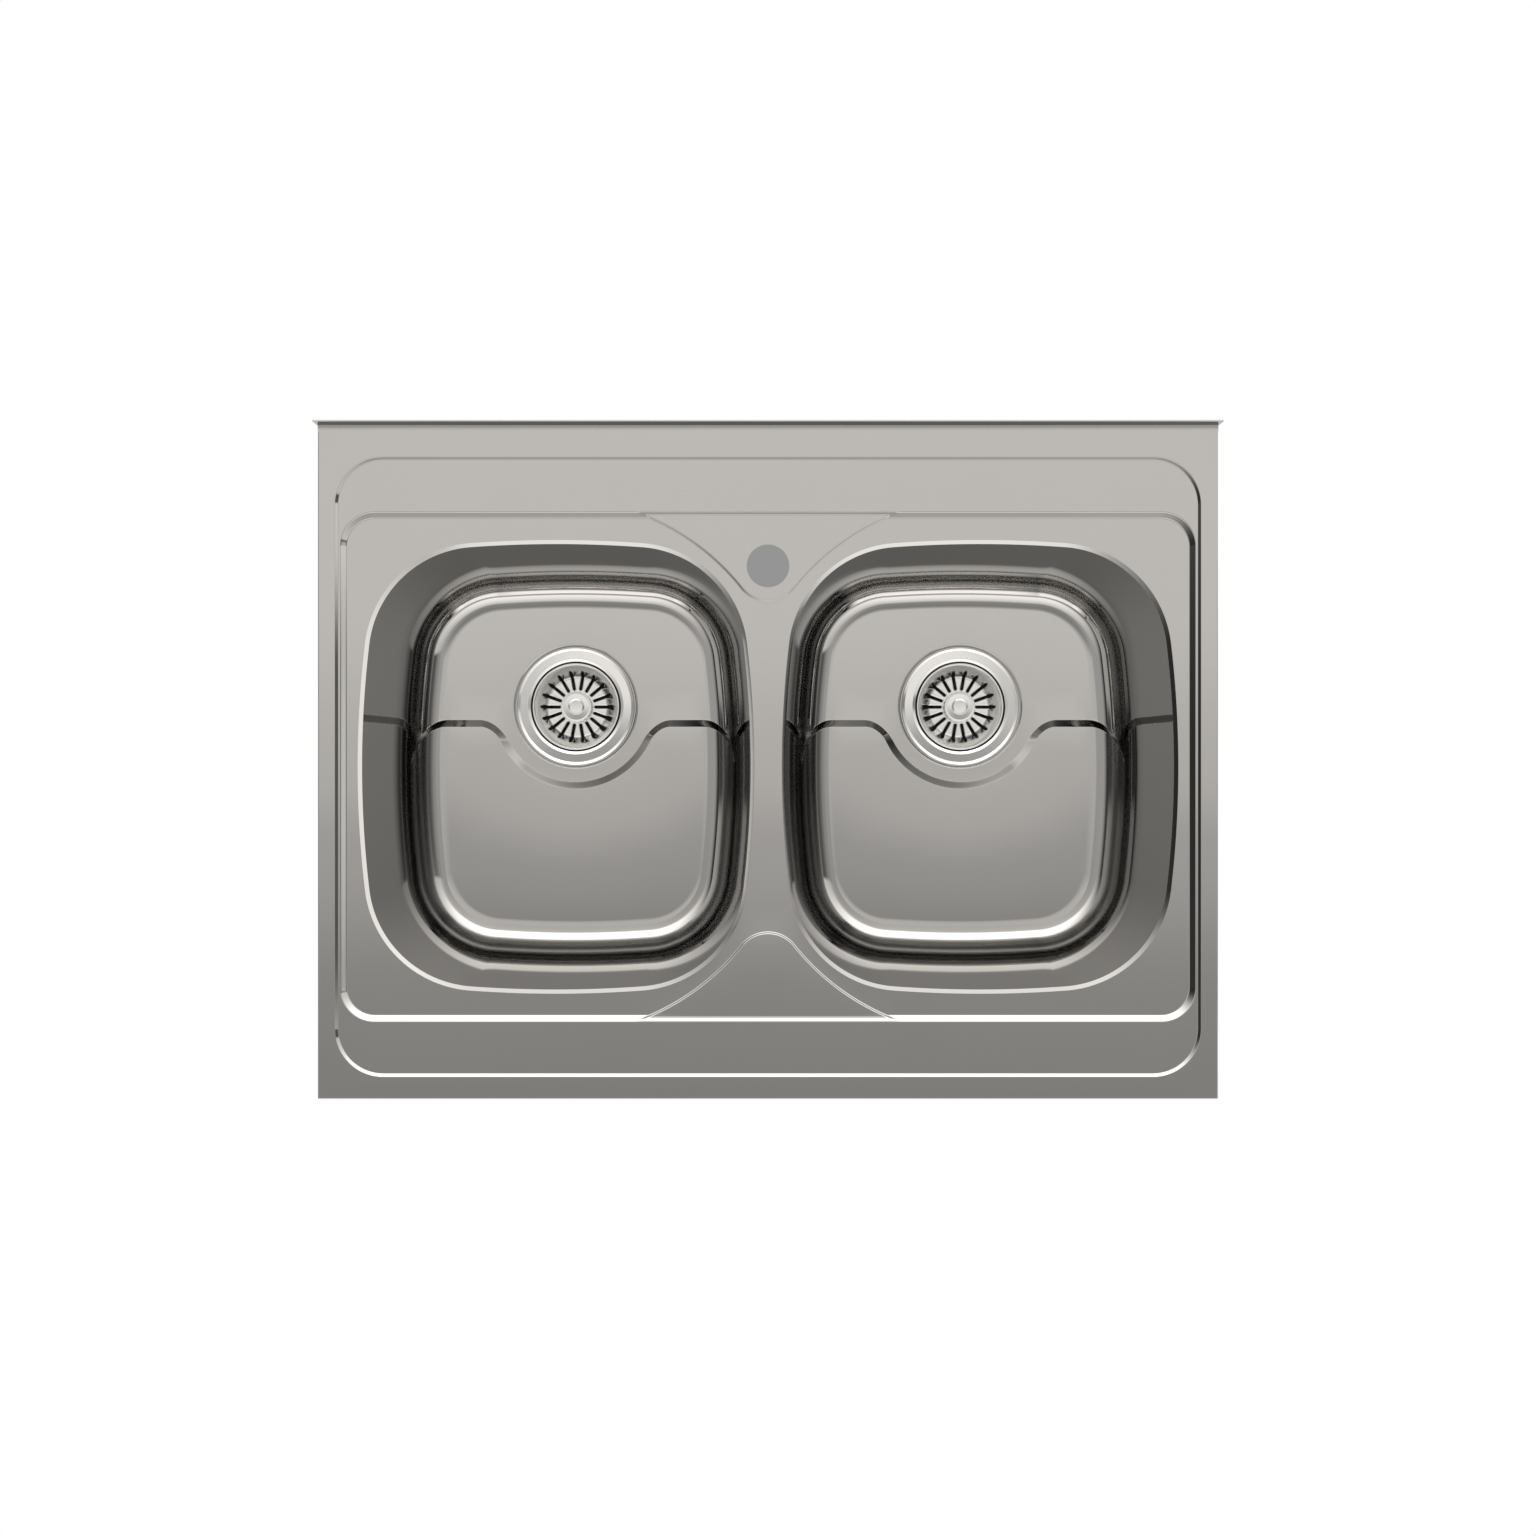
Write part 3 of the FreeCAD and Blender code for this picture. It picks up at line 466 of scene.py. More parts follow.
def fold(skin, path, profile):
    """Draws sheet out from a path of place and direction, along stops of reach, height and lean."""
    ways = skin.verts.layers.float_vector["way"]
    facing = skin.verts.layers.float_vector["facing"]
    verts = []
    for x, y, way_x, way_y in path:
        vert = skin.verts.new((x, y, deck_top))
        vert[ways] = (way_x, way_y, 0)
        vert[facing] = (0, 0, 1)
        verts.append(vert)
    edges = [skin.edges.new(pair) for pair in zip(verts, verts[1:])]
    reached = 0.0
    for reach, height, lean in profile:
        grown = bmesh.ops.extrude_edge_only(skin, edges=edges)["geom"]
        edges = [part for part in grown if isinstance(part, bmesh.types.BMEdge)]
        angle = math.radians(lean)
        for vert in (part for part in grown if isinstance(part, bmesh.types.BMVert)):
            vert.co += vert[ways] * (reach - reached)
            vert.co.z = height
            vert[facing] = vert[ways] * math.sin(angle) + Vector((0, 0, math.cos(angle)))
        reached = reach
    return edges


def thicken(skin, thickness):
    """Gives a skin its thickness below, and closes its edges."""
    facing = skin.verts.layers.float_vector["facing"]
    rims = [edge for edge in skin.edges if edge.is_boundary]
    copy = bmesh.ops.duplicate(skin, geom=skin.verts[:] + skin.edges[:] + skin.faces[:])
    twin = copy["vert_map"]
    under = [part for part in copy["geom"] if isinstance(part, bmesh.types.BMFace)]
    bmesh.ops.reverse_faces(skin, faces=under)
    for part in copy["geom"]:
        if isinstance(part, bmesh.types.BMVert):
            part.co -= part[facing] * thickness
    for edge in rims:
        near, far = edge.verts
        skin.faces.new((near, far, twin[far], twin[near]))
    bmesh.ops.recalc_face_normals(skin, faces=skin.faces)


def finish(skin, name, material, body, node):
    """Makes a mesh a named piece that stands for a CAD node and rides on its body."""
    facing = skin.verts.layers.float_vector.get("facing")
    normals = []
    for face in skin.faces:
        face.smooth = True
        if facing:
            for vert in face.verts:
                side = face.normal.dot(vert[facing])
                flat = abs(side) < 0.5
                normals.append(face.normal.copy() if flat else vert[facing] * math.copysign(1, side))
    if not facing:
        for edge in skin.edges:
            edge.smooth = edge.is_manifold and edge.calc_face_angle() < math.radians(crease_degrees)
    bmesh.ops.scale(skin, verts=skin.verts, vec=(0.001, 0.001, 0.001))
    mesh = bpy.data.meshes.new(name)
    skin.to_mesh(mesh)
    skin.free()
    if normals:
        mesh.normals_split_custom_set(normals)
    mesh.materials.append(material)
    piece = bpy.data.objects.new(name, mesh)
    bpy.context.scene.collection.objects.link(piece)
    if not normals:
        flats = piece.modifiers.new("flats stay flat", "WEIGHTED_NORMAL")
        flats.keep_sharp = True
    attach(piece, body)
    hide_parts(node)


def new_material(name, metallic=0.0):
    """A node material, with its tree and its main shader."""
    material = bpy.data.materials.new(name)
    material.use_nodes = True
    shader = material.node_tree.nodes["Principled BSDF"]
    shader.inputs["Metallic"].default_value = metallic
    return material, material.node_tree, shader


def noise(tree, cells, detail=4.0, turn=0.0):
    """Noise by the piece's own place, with so many cells a metre along each axis."""
    place = tree.nodes.new("ShaderNodeMapping")
    place.inputs["Scale"].default_value = cells
    place.inputs["Rotation"].default_value = (0, 0, turn)
    tree.links.new(tree.nodes.new("ShaderNodeTexCoord").outputs["Object"], place.inputs["Vector"])
    node = tree.nodes.new("ShaderNodeTexNoise")
    node.inputs["Scale"].default_value = 1.0
    node.inputs["Detail"].default_value = detail
    tree.links.new(place.outputs[0], node.inputs["Vector"])
    return node.outputs["Fac"]


def emboss(tree, shader, height, distance):
    """Raises a surface's grain by a distance in metres."""
    bump = tree.nodes.new("ShaderNodeBump")
    bump.inputs["Distance"].default_value = distance
    tree.links.new(height, bump.inputs["Height"])
    tree.links.new(bump.outputs[0], shader.inputs["Normal"])


def sheet_steel():
    """Polished stainless with a rolled grain and wiping marks, duller where the draw leaves its skin."""
    material, tree, shader = new_material("deck_steel", metallic=1.0)
    grain = noise(tree, (4, 500, 60), detail=2.0)
    wiped = noise(tree, (14, 9, 12), detail=5.0)
    scratched = noise(tree, (30, 900, 300), detail=1.0, turn=0.6)
    cloud = calculate(tree, "MULTIPLY_ADD", grain, 0.5, calculate(tree, "MULTIPLY", wiped, 0.5))
    _, rearward, up = own_place(tree)
    height = calculate(tree, "MULTIPLY_ADD", up, 1000.0, -floor_top)
    # Painted shade: the colour darkens low on the bowls' walls and toward the front of their floors.
    worn = graph(tree, rearward, floor_front_shade, "LINEAR")
    skin = graph(tree, height, low_wall_shade)
    share = calculate(tree, "MULTIPLY_ADD", graph(tree, height, floor_shade_band), worn, skin)
    colour = tint(tree, share, tint(tree, cloud, steel_low, steel_high), steel_shaded)
    tree.links.new(colour, shader.inputs["Base Color"])
    uneven = calculate(tree, "MULTIPLY_ADD", scratched, 0.25, calculate(tree, "MULTIPLY", cloud, 0.75))
    polished = graph(tree, uneven, steel_rough, "LINEAR")
    rough = calculate(tree, "MULTIPLY_ADD", graph(tree, height, dull_skin), dull_rough, polished)
    tree.links.new(rough, shader.inputs["Roughness"])
    shader.inputs["Specular Tint"].default_value = (steel_edge, steel_edge, steel_edge, 1)
    emboss(tree, shader, grain, steel_grain)
    return material


def turn_down():
    """Stops of reach, height and lean over the deck's edge, down the skirt and round to its lip."""
    stops = []
    for middle, first, last in ((deck_top - fold_radius, 90 - fold_turn, 0), (fold_radius, 0, -90)):
        for degrees in range(first, last - 1, -fold_turn):
            angle = math.radians(degrees)
            height = middle + fold_radius * math.sin(angle)
            stops.append((fold_radius * math.cos(angle), height, 90 - degrees))
    return stops


def turn_up():
    """Stops of reach, height and lean up the curl and the cove and over the upstand's hem."""
    stops = []
    lean = math.radians(curl_lean)
    curl_radius = curl_run / math.sin(lean)
    for i in range(1, curl_parts + 1):
        angle = lean * i / curl_parts
        height = deck_top + curl_radius * (1 - math.cos(angle))
        stops.append((curl_radius * math.sin(angle), height, -math.degrees(angle)))
    foot = stops[-1][1] - cove_radius * (1 - math.cos(lean))
    for degrees in cove_turns:
        angle = math.radians(degrees)
        reach = curl_run + cove_radius * (math.sin(angle) - math.sin(lean))
        stops.append((reach, foot + cove_radius * (1 - math.cos(angle)), -degrees))
    face = stops[-1][0]
    hem_middle = deck_top + upstand_height - hem_radius
    for degrees in hem_turns:
        angle = math.radians(degrees)
        reach = face + hem_radius * (1 + math.sin(angle))
        stops.append((reach, hem_middle + hem_radius * math.cos(angle), degrees))
    return stops + [(face + 2 * hem_radius, hem_middle + hem_radius - hem_leg, 90)]


def make_deck(material):
    """The pressed deck with its skirt, lips and upstand."""
    skirt_rear = flat_rear + curl_run + cove_radius + sheet
    path = [(-flat_x, skirt_rear, -1, 0), (-flat_x, flat_rear, -1, 0)]
    for side, start in ((-1, math.pi), (1, 1.5 * math.pi)):
        for way_x, way_y in arc((0, 0), 1.0, start, start + math.pi / 2, fold_corner_parts):
            x = side * (flat_x - fold_corner) + way_x * fold_corner
            path.append((x, flat_front + fold_corner + way_y * fold_corner, way_x, way_y))
    path += [(flat_x, flat_rear, 1, 0), (flat_x, skirt_rear, 1, 0)]
    loops = [[stop[:2] for stop in path[1:-1]], circle(tap_radius, tap_parts, y=tap_y)]
    for share in step_stops:
        loops.append(rectangle_loop(outer_half, outer_corner, outer_run * share))
        loops.append(rectangle_loop(inner_half, inner_corner, inner_run * share))
    for inset in (tongue_crease, tongue_rear_step, tongue_front_step):
        loops.append(rectangle_loop(inner_half, inner_corner, inset))
    loops += [bowl_loop(weld_inset, side) for side in (-1, 1)]
    lines = []
    for i in range(tongue_parts + 1):
        lines += [tongue_line(tongue_run * (i / tongue_parts - 0.5), side) for side in (-1, 1)]

    def keep(x, y):
        in_bowl = bowl_inset(abs(x) - bowl_x, y - field_y) > weld_inset
        return not in_bowl and math.hypot(x, y - tap_y) > tap_radius

    skin = press(loops, lines, deck_height, keep)
    edges = fold(skin, path, turn_down())
    lip = bmesh.ops.extrude_edge_only(skin, edges=edges)["geom"]
    for vert in (part for part in lip if isinstance(part, bmesh.types.BMVert)):
        vert.co.x = math.copysign(min(abs(vert.co.x), deck_half_x - lip_width), vert.co.x)
        vert.co.y = max(vert.co.y, -deck_half_y + lip_width)
    fold(skin, [(x, flat_rear, 0, 1) for x in (-deck_half_x, -flat_x, flat_x, deck_half_x)], turn_up())
    bmesh.ops.remove_doubles(skin, verts=skin.verts, dist=1e-3)
    thicken(skin, sheet)
    finish(skin, "deck_sheet", material, "sink", "deck")


steel = sheet_steel()
make_deck(steel)

# The bowls: drawn from the same sheet, with bulged sides and a straight leaning wall under a chamfered
# mouth, which is welded to the deck and polished over. The floor lies in two levels whose step bulges
# round the waste, and a seat is pressed round the waste's hole for the strainer's flange.
facet_start = -1.6
facet_run = 3.3
facet_slope = 45.0
facet_split = 0.04
wall_run = 20.3
wall_parts = 4
rear_round = 26.0
front_round = 32.0
round_parts = 16
floor_step = 5.0
floor_bend = 0.03
floor_stops = (0.0, 0.01, 0.02, 0.03, 0.3, 0.5, 0.7, 0.97, 0.98, 0.99, 1.0)
step_run = 7.0
step_circle = 77.5
step_line = 16.7
step_blend = 18.0
step_fade = 0.05
waste_y = 59.4
waste_hole = 45.0
waste_parts = 96
recess_radius = 61.5
recess_run = 3.0
recess_parts = 5
recess_depth = 1.5

raised_top = floor_top + floor_step
facet_end = facet_start + facet_run
facet_fall = facet_run * math.tan(math.radians(facet_slope))
wall_lean = wall_run / (bowl_depth - facet_fall)
wall_angle = math.atan(wall_lean)
wall_start = facet_end - facet_fall * wall_lean


def floor_edge(floor, floor_round):
    """The inset where the floor's round ends and the floor is flat."""
    foot = wall_start + (inner_top - floor) * wall_lean
    return foot + floor_round * math.tan(math.pi / 4 - wall_angle / 2)


def bowl_level(inset, floor, floor_round):
    """The height of a plain bowl at an inset: chamfered mouth, leaning wall, floor round and floor."""
    edge = floor_edge(floor, floor_round)
    if inset <= facet_end:
        return inner_top - max(inset - facet_start, 0.0) * math.tan(math.radians(facet_slope))
    if inset >= edge:
        return floor
    if inset > edge - floor_round * math.cos(wall_angle):
        return floor + floor_round - math.sqrt(floor_round**2 - (edge - inset) ** 2)
    return inner_top - (inset - wall_start) / wall_lean


def both_levels(x, y):
    """The heights that the rear floor's bowl and the front floor's bowl have at one place."""
    inset = bowl_inset(x, y)
    return bowl_level(inset, floor_top, rear_round), bowl_level(inset, raised_top, front_round)


def step_share(x, y):
    """0 on the rear floor, 1 on the raised front floor, and between them on the step."""
    rear, front = both_levels(x, y)
    ring = math.hypot(x, y - waste_y) - step_circle
    line = waste_y - step_line - y
    joined = math.hypot(max(step_blend - ring, 0.0), max(step_blend - line, 0.0))
    away = max(step_blend, min(ring, line)) - joined
    rise = ((rear + front) / 2 - floor_top - floor_step / 2) / floor_step
    return (step_run / 2 + away) / step_run - rise


def bowl_height(x, y):
    """The height of a bowl's inside, from its centre."""
    rear, front = both_levels(x, y)
    seat = press_step((recess_radius - math.hypot(x, y - waste_y)) / recess_run)
    return rear + (front - rear) * press_step(step_share(x, y), floor_bend) - recess_depth * seat


def settle_on_step(x, y, level):
    """Moves a point across the floor's step until it lies at one share of the rise."""
    for _ in range(4):
        rise_x, rise_y = slope(step_share, x, y)
        excess = (step_share(x, y) - level) / (rise_x**2 + rise_y**2)
        x -= excess * rise_x
        y -= excess * rise_y
    return x, y


def trace_step(level):
    """A line along the floor's step, at one share of its rise, from one side wall to the other."""
    stride = 2.0
    x = 0.0
    y = waste_y - step_circle + step_run * (0.5 - level)
    way = (1.0, 0.0)
    line = []
    rear, front = both_levels(x, y)
    while front - rear >= step_fade:
        line.append((x, y))
        rise_x, rise_y = slope(step_share, x, y)
        heading = math.copysign(1, rise_x * way[1] - rise_y * way[0]) / math.hypot(rise_x, rise_y)
        way = (-heading * rise_y, heading * rise_x)
        x, y = settle_on_step(x + stride * way[0], y + stride * way[1], level)
        rear, front = both_levels(x, y)
    return [(-x, y) for x, y in reversed(line[1:])] + line


def make_bowl(side, name, material):
    """One drawn bowl, with its two floor levels and the seat of its waste."""
    centre_x = side * bowl_x
    insets = [edge + split for edge in (facet_start, facet_end) for split in (-facet_split, facet_split)]
    rounds = []
    for floor, floor_round in ((floor_top, rear_round), (raised_top, front_round)):
        for i in range(round_parts + 1):
            angle = wall_angle + (math.pi / 2 - wall_angle) * i / round_parts
            rounds.append(floor_edge(floor, floor_round) - floor_round * math.cos(angle))
    insets += rounds
    insets += [facet_end + (min(rounds) - facet_end) * i / wall_parts for i in range(1, wall_parts)]
    loops = [bowl_loop(inset, side) for inset in (weld_inset, *insets)]
    rings = [recess_radius - recess_run * i / recess_parts for i in range(recess_parts + 1)]
    for radius in (*rings, waste_hole):
        loops.append(circle(radius, waste_parts, centre_x, field_y + waste_y))
    lines = []
    for level in floor_stops:
        lines.append([(x + centre_x, y + field_y) for x, y in trace_step(level)])

    def height(x, y):
        return bowl_height(x - centre_x, y - field_y)

    def keep(x, y):
        return math.hypot(x - centre_x, y - field_y - waste_y) > waste_hole

    skin = press(loops, lines, height, keep)
    thicken(skin, sheet)
    finish(skin, name + "_sheet", material, "sink", name)


for side, name in ((-1, "left_bowl"), (1, "right_bowl")):
    make_bowl(side, name, steel)

# The strainer flange: stainless ring and cup in one pressing, satin finished, with a welded cross in
# its floor. It lies on a foam ring in the bowl's seat and is pulled down by the centre screw.
flange_radius = 57.3
flange_sheet = 1.0
flange_crown = 0.9
flange_edge = 2.6
flange_land = 46.8
flange_dip = 0.6
flange_under = floor_top - recess_depth + 1.2
flange_top = flange_under + flange_sheet
mouth_radius = 43.5
cup_floor = -174.85
cup_foot = 42.0
cup_round = 3.0
cup_shade_below = -150.0
collar_radius = 25.0
cross_top = -183.35
cross_sheet = 1.5
cross_hub = 9.0
cross_spoke = 5.0
screw_hole = 3.15
# Satin stainless, as tumbled, and the painted shade deep in the cup's inside, near black and rougher, that
# fades out upwards.
satin_low = (0.945, 0.942, 0.934)
satin_high = (0.985, 0.982, 0.974)
satin_rough = [(0.0, 0.10), (0.3, 0.11), (0.7, 0.16), (1.0, 0.18)]
satin_grain = 1e-6
painted_shade_colour = (0.05, 0.05, 0.052)
dull_roughness = 0.5
painted_shade_fade = 6.0
# The rounds of the profile's corners, by their number in it, and the parts of each.
flange_rounds = {1: 0.6, 2: 2.4, 3: 1.6, 4: 1.5, 5: cup_round, 10: cup_round + flange_sheet}
soft_parts = 6
waste_places = [("left", -bowl_x, field_y + waste_y), ("right", bowl_x, field_y + waste_y)]


def soften(points, rounds):
    """A profile with some of its corners rounded, by point number and radius."""
    path = []
    for i, point in enumerate(points):
        if i not in rounds:
            path.append(point)
            continue
        corner = Vector(point)
        back = (Vector(points[i - 1]) - corner).normalized()
        on = (Vector(points[(i + 1) % len(points)]) - corner).normalized()
        half = back.angle(on) / 2
        centre = corner + (back + on).normalized() * rounds[i] / math.sin(half)
        start = corner + back * rounds[i] / math.tan(half) - centre
        end = corner + on * rounds[i] / math.tan(half) - centre
        for step in range(soft_parts + 1):
            path.append(tuple(centre + start.slerp(end, step / soft_parts)))
    return path


def turn_on_lathe(skin, profile, steps=144):
    """Spins a closed profile of radius and height into a solid ring."""
    verts = [skin.verts.new((radius, 0, height)) for radius, height in profile]
    edges = [skin.edges.new(pair) for pair in zip(verts, verts[1:] + verts[:1])]
    bmesh.ops.spin(skin, geom=verts + edges, axis=(0, 0, 1), angle=2 * math.pi, steps=steps, use_merge=True)
    bmesh.ops.remove_doubles(skin, verts=skin.verts, dist=1e-4)
    bmesh.ops.recalc_face_normals(skin, faces=skin.faces)


def satin_steel(name, shade_below_height):
    """Bright stainless, satin where it is tumbled, with painted shade, dark and rougher, deep in the cup's
    inside.
    """
    material, tree, shader = new_material(name, metallic=1.0)
    cloud = noise(tree, (110, 110, 110), detail=4.0)
    fine = noise(tree, (2400, 2400, 1200), detail=2.0)
    height = calculate(tree, "MULTIPLY", own_place(tree)[2], 1000.0)
    depth = calculate(tree, "SUBTRACT", shade_below_height, height)
    # Painted shade: near black deep in the cup's inside, fading out upwards.
    dull = graph(tree, depth, [(0.0, 0.0), (painted_shade_fade, 1.0)])
    colour = tint(tree, dull, tint(tree, cloud, satin_low, satin_high), painted_shade_colour)
    tree.links.new(colour, shader.inputs["Base Color"])
    uneven = calculate(tree, "MULTIPLY_ADD", fine, 0.4, calculate(tree, "MULTIPLY", cloud, 0.6))
    rough = graph(tree, uneven, satin_rough, "LINEAR")
    tree.links.new(blend(tree, dull, rough, dull_roughness), shader.inputs["Roughness"])
    emboss(tree, shader, fine, satin_grain)
    return material


def make_flange(name, x, y, material):
    """The flange with its cup, collar and cross."""
    points = [
        (flange_radius, flange_under),
        (flange_radius, flange_under + flange_sheet),
        (flange_radius - flange_edge, flange_top + flange_crown),
        (flange_land, flange_top + flange_crown),
        (mouth_radius, flange_top - flange_dip),
        (cup_foot, cup_floor),
        (collar_radius, cup_floor),
        (collar_radius, cross_top - cross_sheet),
        (collar_radius + flange_sheet, cross_top - cross_sheet),
        (collar_radius + flange_sheet, cup_floor - flange_sheet),
        (cup_foot + flange_sheet, cup_floor - flange_sheet),
        (mouth_radius + flange_sheet, flange_under),
    ]
    skin = bmesh.new()
    turn_on_lathe(skin, soften(points, flange_rounds))
    for spoke in range(4):
        bar = bmesh.ops.create_cube(skin, size=1.0)["verts"]
        reach = collar_radius + flange_sheet / 2 - cross_hub / 2
        bmesh.ops.scale(skin, verts=bar, vec=(reach, cross_spoke, cross_sheet))
        bmesh.ops.translate(skin, verts=bar, vec=(cross_hub / 2 + reach / 2, 0, cross_top - cross_sheet / 2))
        turned = Matrix.Rotation(math.radians(45 + 90 * spoke), 3, "Z")
        bmesh.ops.rotate(skin, verts=bar, cent=(0, 0, 0), matrix=turned)
    hub = [(cross_hub, cross_top - cross_sheet), (cross_hub, cross_top), (screw_hole, cross_top),
           (screw_hole, cross_top - cross_sheet)]
    turn_on_lathe(skin, hub, steps=48)
    bmesh.ops.translate(skin, verts=skin.verts, vec=(x, y, 0))
    node = name + "_strainer_flange"
    finish(skin, node + "_ring", material, "sink", node)


flange_steel = satin_steel("flange_steel", cup_shade_below)

# The basket: a thin stainless pressing with a rolled rim, a sloping side and eighteen slots whose
# edges are drawn slightly down. It rests by its rim in the flange's mouth and lifts out by the knob.
basket_sheet = 0.7
basket_rim = 42.7
basket_shoulder = 40.9
basket_rim_top = -147.75
basket_floor = -165.25
basket_foot = 30.0
basket_foot_round = 3.0
basket_shoulder_round = 1.0
basket_edge_round = 0.7
basket_land = 16.0
basket_hole = 3.08
# Lower than the basket reaches, so that none of it gets the painted shade.
basket_shade_below = -300.0
# Rings where the pressing bends, from the rim in, and the parts of a ring, of the land and of the hole.
basket_rings = (42.67, 42.6, 42.4, 42.2, 42.0, 41.45, 41.2, 41.0, 40.8, 40.6, 38.2, 30.88, 30.4, 29.9,
                29.4, 28.9, 28.33)
basket_parts = 120
land_parts = 72
hole_parts = 36
slots = 18
slot_half = 1.6
slot_inner = 16.5
slot_outer = 35.5
slot_dip = 0.3
slot_dip_run = 0.7
# Lines along a slot by their distance outside it, and how far out on them its edge bends.
slot_lines = (0.0, 0.25, 0.5, slot_dip_run)
slot_stops = (33.0, 30.9, 30.2, 29.5, 28.8, 28.3, 25.0, 21.5)
slot_end_parts = 8


def slot_distance(x, y):
    """How far a point lies outside the nearest slot's edge."""
    turn = 2 * math.pi / slots
    angle = math.atan2(y, x)
    angle -= round(angle / turn) * turn
    radius = math.hypot(x, y)
    along = radius * math.cos(angle)
    nearest = min(max(along, slot_inner + slot_half), slot_outer - slot_half)
    return math.hypot(along - nearest, radius * math.sin(angle)) - slot_half


def basket_height(x, y):
    """The height of the basket's upper side."""
    radius = math.hypot(x, y)
    lean = math.atan2(basket_rim_top - basket_floor, basket_shoulder - basket_foot)
    top_start = basket_shoulder + basket_shoulder_round * math.tan(lean / 2)
    foot_end = basket_foot - basket_foot_round * math.tan(lean / 2)
    edge_start = basket_rim - basket_edge_round
    if radius > edge_start:
        drop = basket_edge_round - math.sqrt(max(basket_edge_round**2 - (radius - edge_start) ** 2, 0))
        return basket_rim_top - drop
    if radius > top_start:
        return basket_rim_top
    if radius > top_start - basket_shoulder_round * math.sin(lean):
        rise = math.sqrt(basket_shoulder_round**2 - (top_start - radius) ** 2)
        return basket_rim_top - basket_shoulder_round + rise
    dip = slot_dip * (1 - ease(slot_distance(x, y) / slot_dip_run))
    if radius > foot_end + basket_foot_round * math.sin(lean):
        return basket_floor + (radius - basket_foot) * math.tan(lean) - dip
    if radius > foot_end:
        rise = basket_foot_round - math.sqrt(basket_foot_round**2 - (radius - foot_end) ** 2)
        return basket_floor + rise - dip
    return basket_floor - dip


def slot_outline(grow, turn):
    """One slot's outline, widened by a distance and turned to its place."""
    half = slot_half + grow
    end = arc((slot_outer - slot_half, 0), half, -math.pi / 2, math.pi / 2, slot_end_parts)
    start = arc((slot_inner + slot_half, 0), half, math.pi / 2, 3 * math.pi / 2, slot_end_parts)
    outline = end + [(along, half) for along in slot_stops] + start
    outline += [(along, -half) for along in reversed(slot_stops)]
    return [(x * math.cos(turn) - y * math.sin(turn), x * math.sin(turn) + y * math.cos(turn))
            for x, y in outline]


def make_basket(name, x, y, material):
    """The slotted basket."""
    loops = [circle(radius, basket_parts) for radius in basket_rings]
    loops += [circle(basket_land, land_parts), circle(basket_hole, hole_parts)]
    for slot in range(slots):
        loops += [slot_outline(grow, 2 * math.pi * slot / slots) for grow in slot_lines]

    def keep(px, py):
        return slot_distance(px, py) > 0 and basket_hole < math.hypot(px, py) < basket_rim

    skin = press(loops, [], basket_height, keep)
    thicken(skin, basket_sheet)
    bmesh.ops.translate(skin, verts=skin.verts, vec=(x, y, 0))
    finish(skin, name + "_basket_pressing", material, name + "_basket", name + "_basket")


basket_steel = satin_steel("basket_steel", basket_shade_below)

# The knob: a turned stainless head on a stem, with a flat top, eased edges and a shallow dimple. It is
# pressed on the pin that holds the stopper under the basket. With it both wastes are put together.
knob_radius = 14.7
knob_base = -165.15
knob_top = -151.65
knob_head = 6.0
knob_stem = 6.5
knob_land = 12.8
knob_fall = 0.8
dimple_radius = 8.0
dimple_foot = 6.2
dimple_depth = 0.9
pin_radius = 3.0
pin_cover = 2.5
knob_rounds = {2: 1.5, 3: 0.8, 4: 0.4, 5: 1.2, 6: 0.8, 7: 1.2}
# What the profile keeps off the axis while it is spun; it is closed afterwards.
axis_gap = 0.001


def make_knob(name, x, y, material):
    """The knob's head and stem, hollow where the pin goes in."""
    points = [
        (pin_radius, knob_base),
        (knob_stem, knob_base),
        (knob_stem, knob_top - knob_head),
        (knob_radius, knob_top - knob_head),
        (knob_radius, knob_top - knob_fall),
        (knob_land, knob_top),
        (dimple_radius, knob_top),
        (dimple_foot, knob_top - dimple_depth),
        (axis_gap, knob_top - dimple_depth),
        (axis_gap, knob_top - pin_cover),
        (pin_radius, knob_top - pin_cover),
    ]
    skin = bmesh.new()
    turn_on_lathe(skin, soften(points, knob_rounds))
    bmesh.ops.remove_doubles(skin, verts=skin.verts, dist=2 * axis_gap)
    bmesh.ops.translate(skin, verts=skin.verts, vec=(x, y, 0))
    finish(skin, name + "_knob_turning", material, name + "_knob", name + "_knob")


for name, x, y in waste_places:
    make_flange(name, x, y, flange_steel)
    make_basket(name, x, y, basket_steel)
    make_knob(name, x, y, basket_steel)

# The rear rail, the two stiffeners and the tap's plate: galvanised steel, bent to a channel and to two
# hats that are welded under the deck, and cut flat for the plate that stiffens the sheet round the tap
# hole. They keep the shape of their solids, like all that follows, and are only given their look.
zinc_colours = ((0.40, 0.41, 0.42), (0.66, 0.67, 0.68))
zinc_rough = (0.34, 0.52)
zinc_crystals = 140.0
zinc_raised = 1.5e-5


def coat(tree, shader, tone, colours, wear, rough):
    """A colour that follows a tone, and a roughness that follows the wear."""
    tree.links.new(tint(tree, tone, *colours), shader.inputs["Base Color"])
    tree.links.new(graph(tree, wear, list(enumerate(rough)), "LINEAR"), shader.inputs["Roughness"])


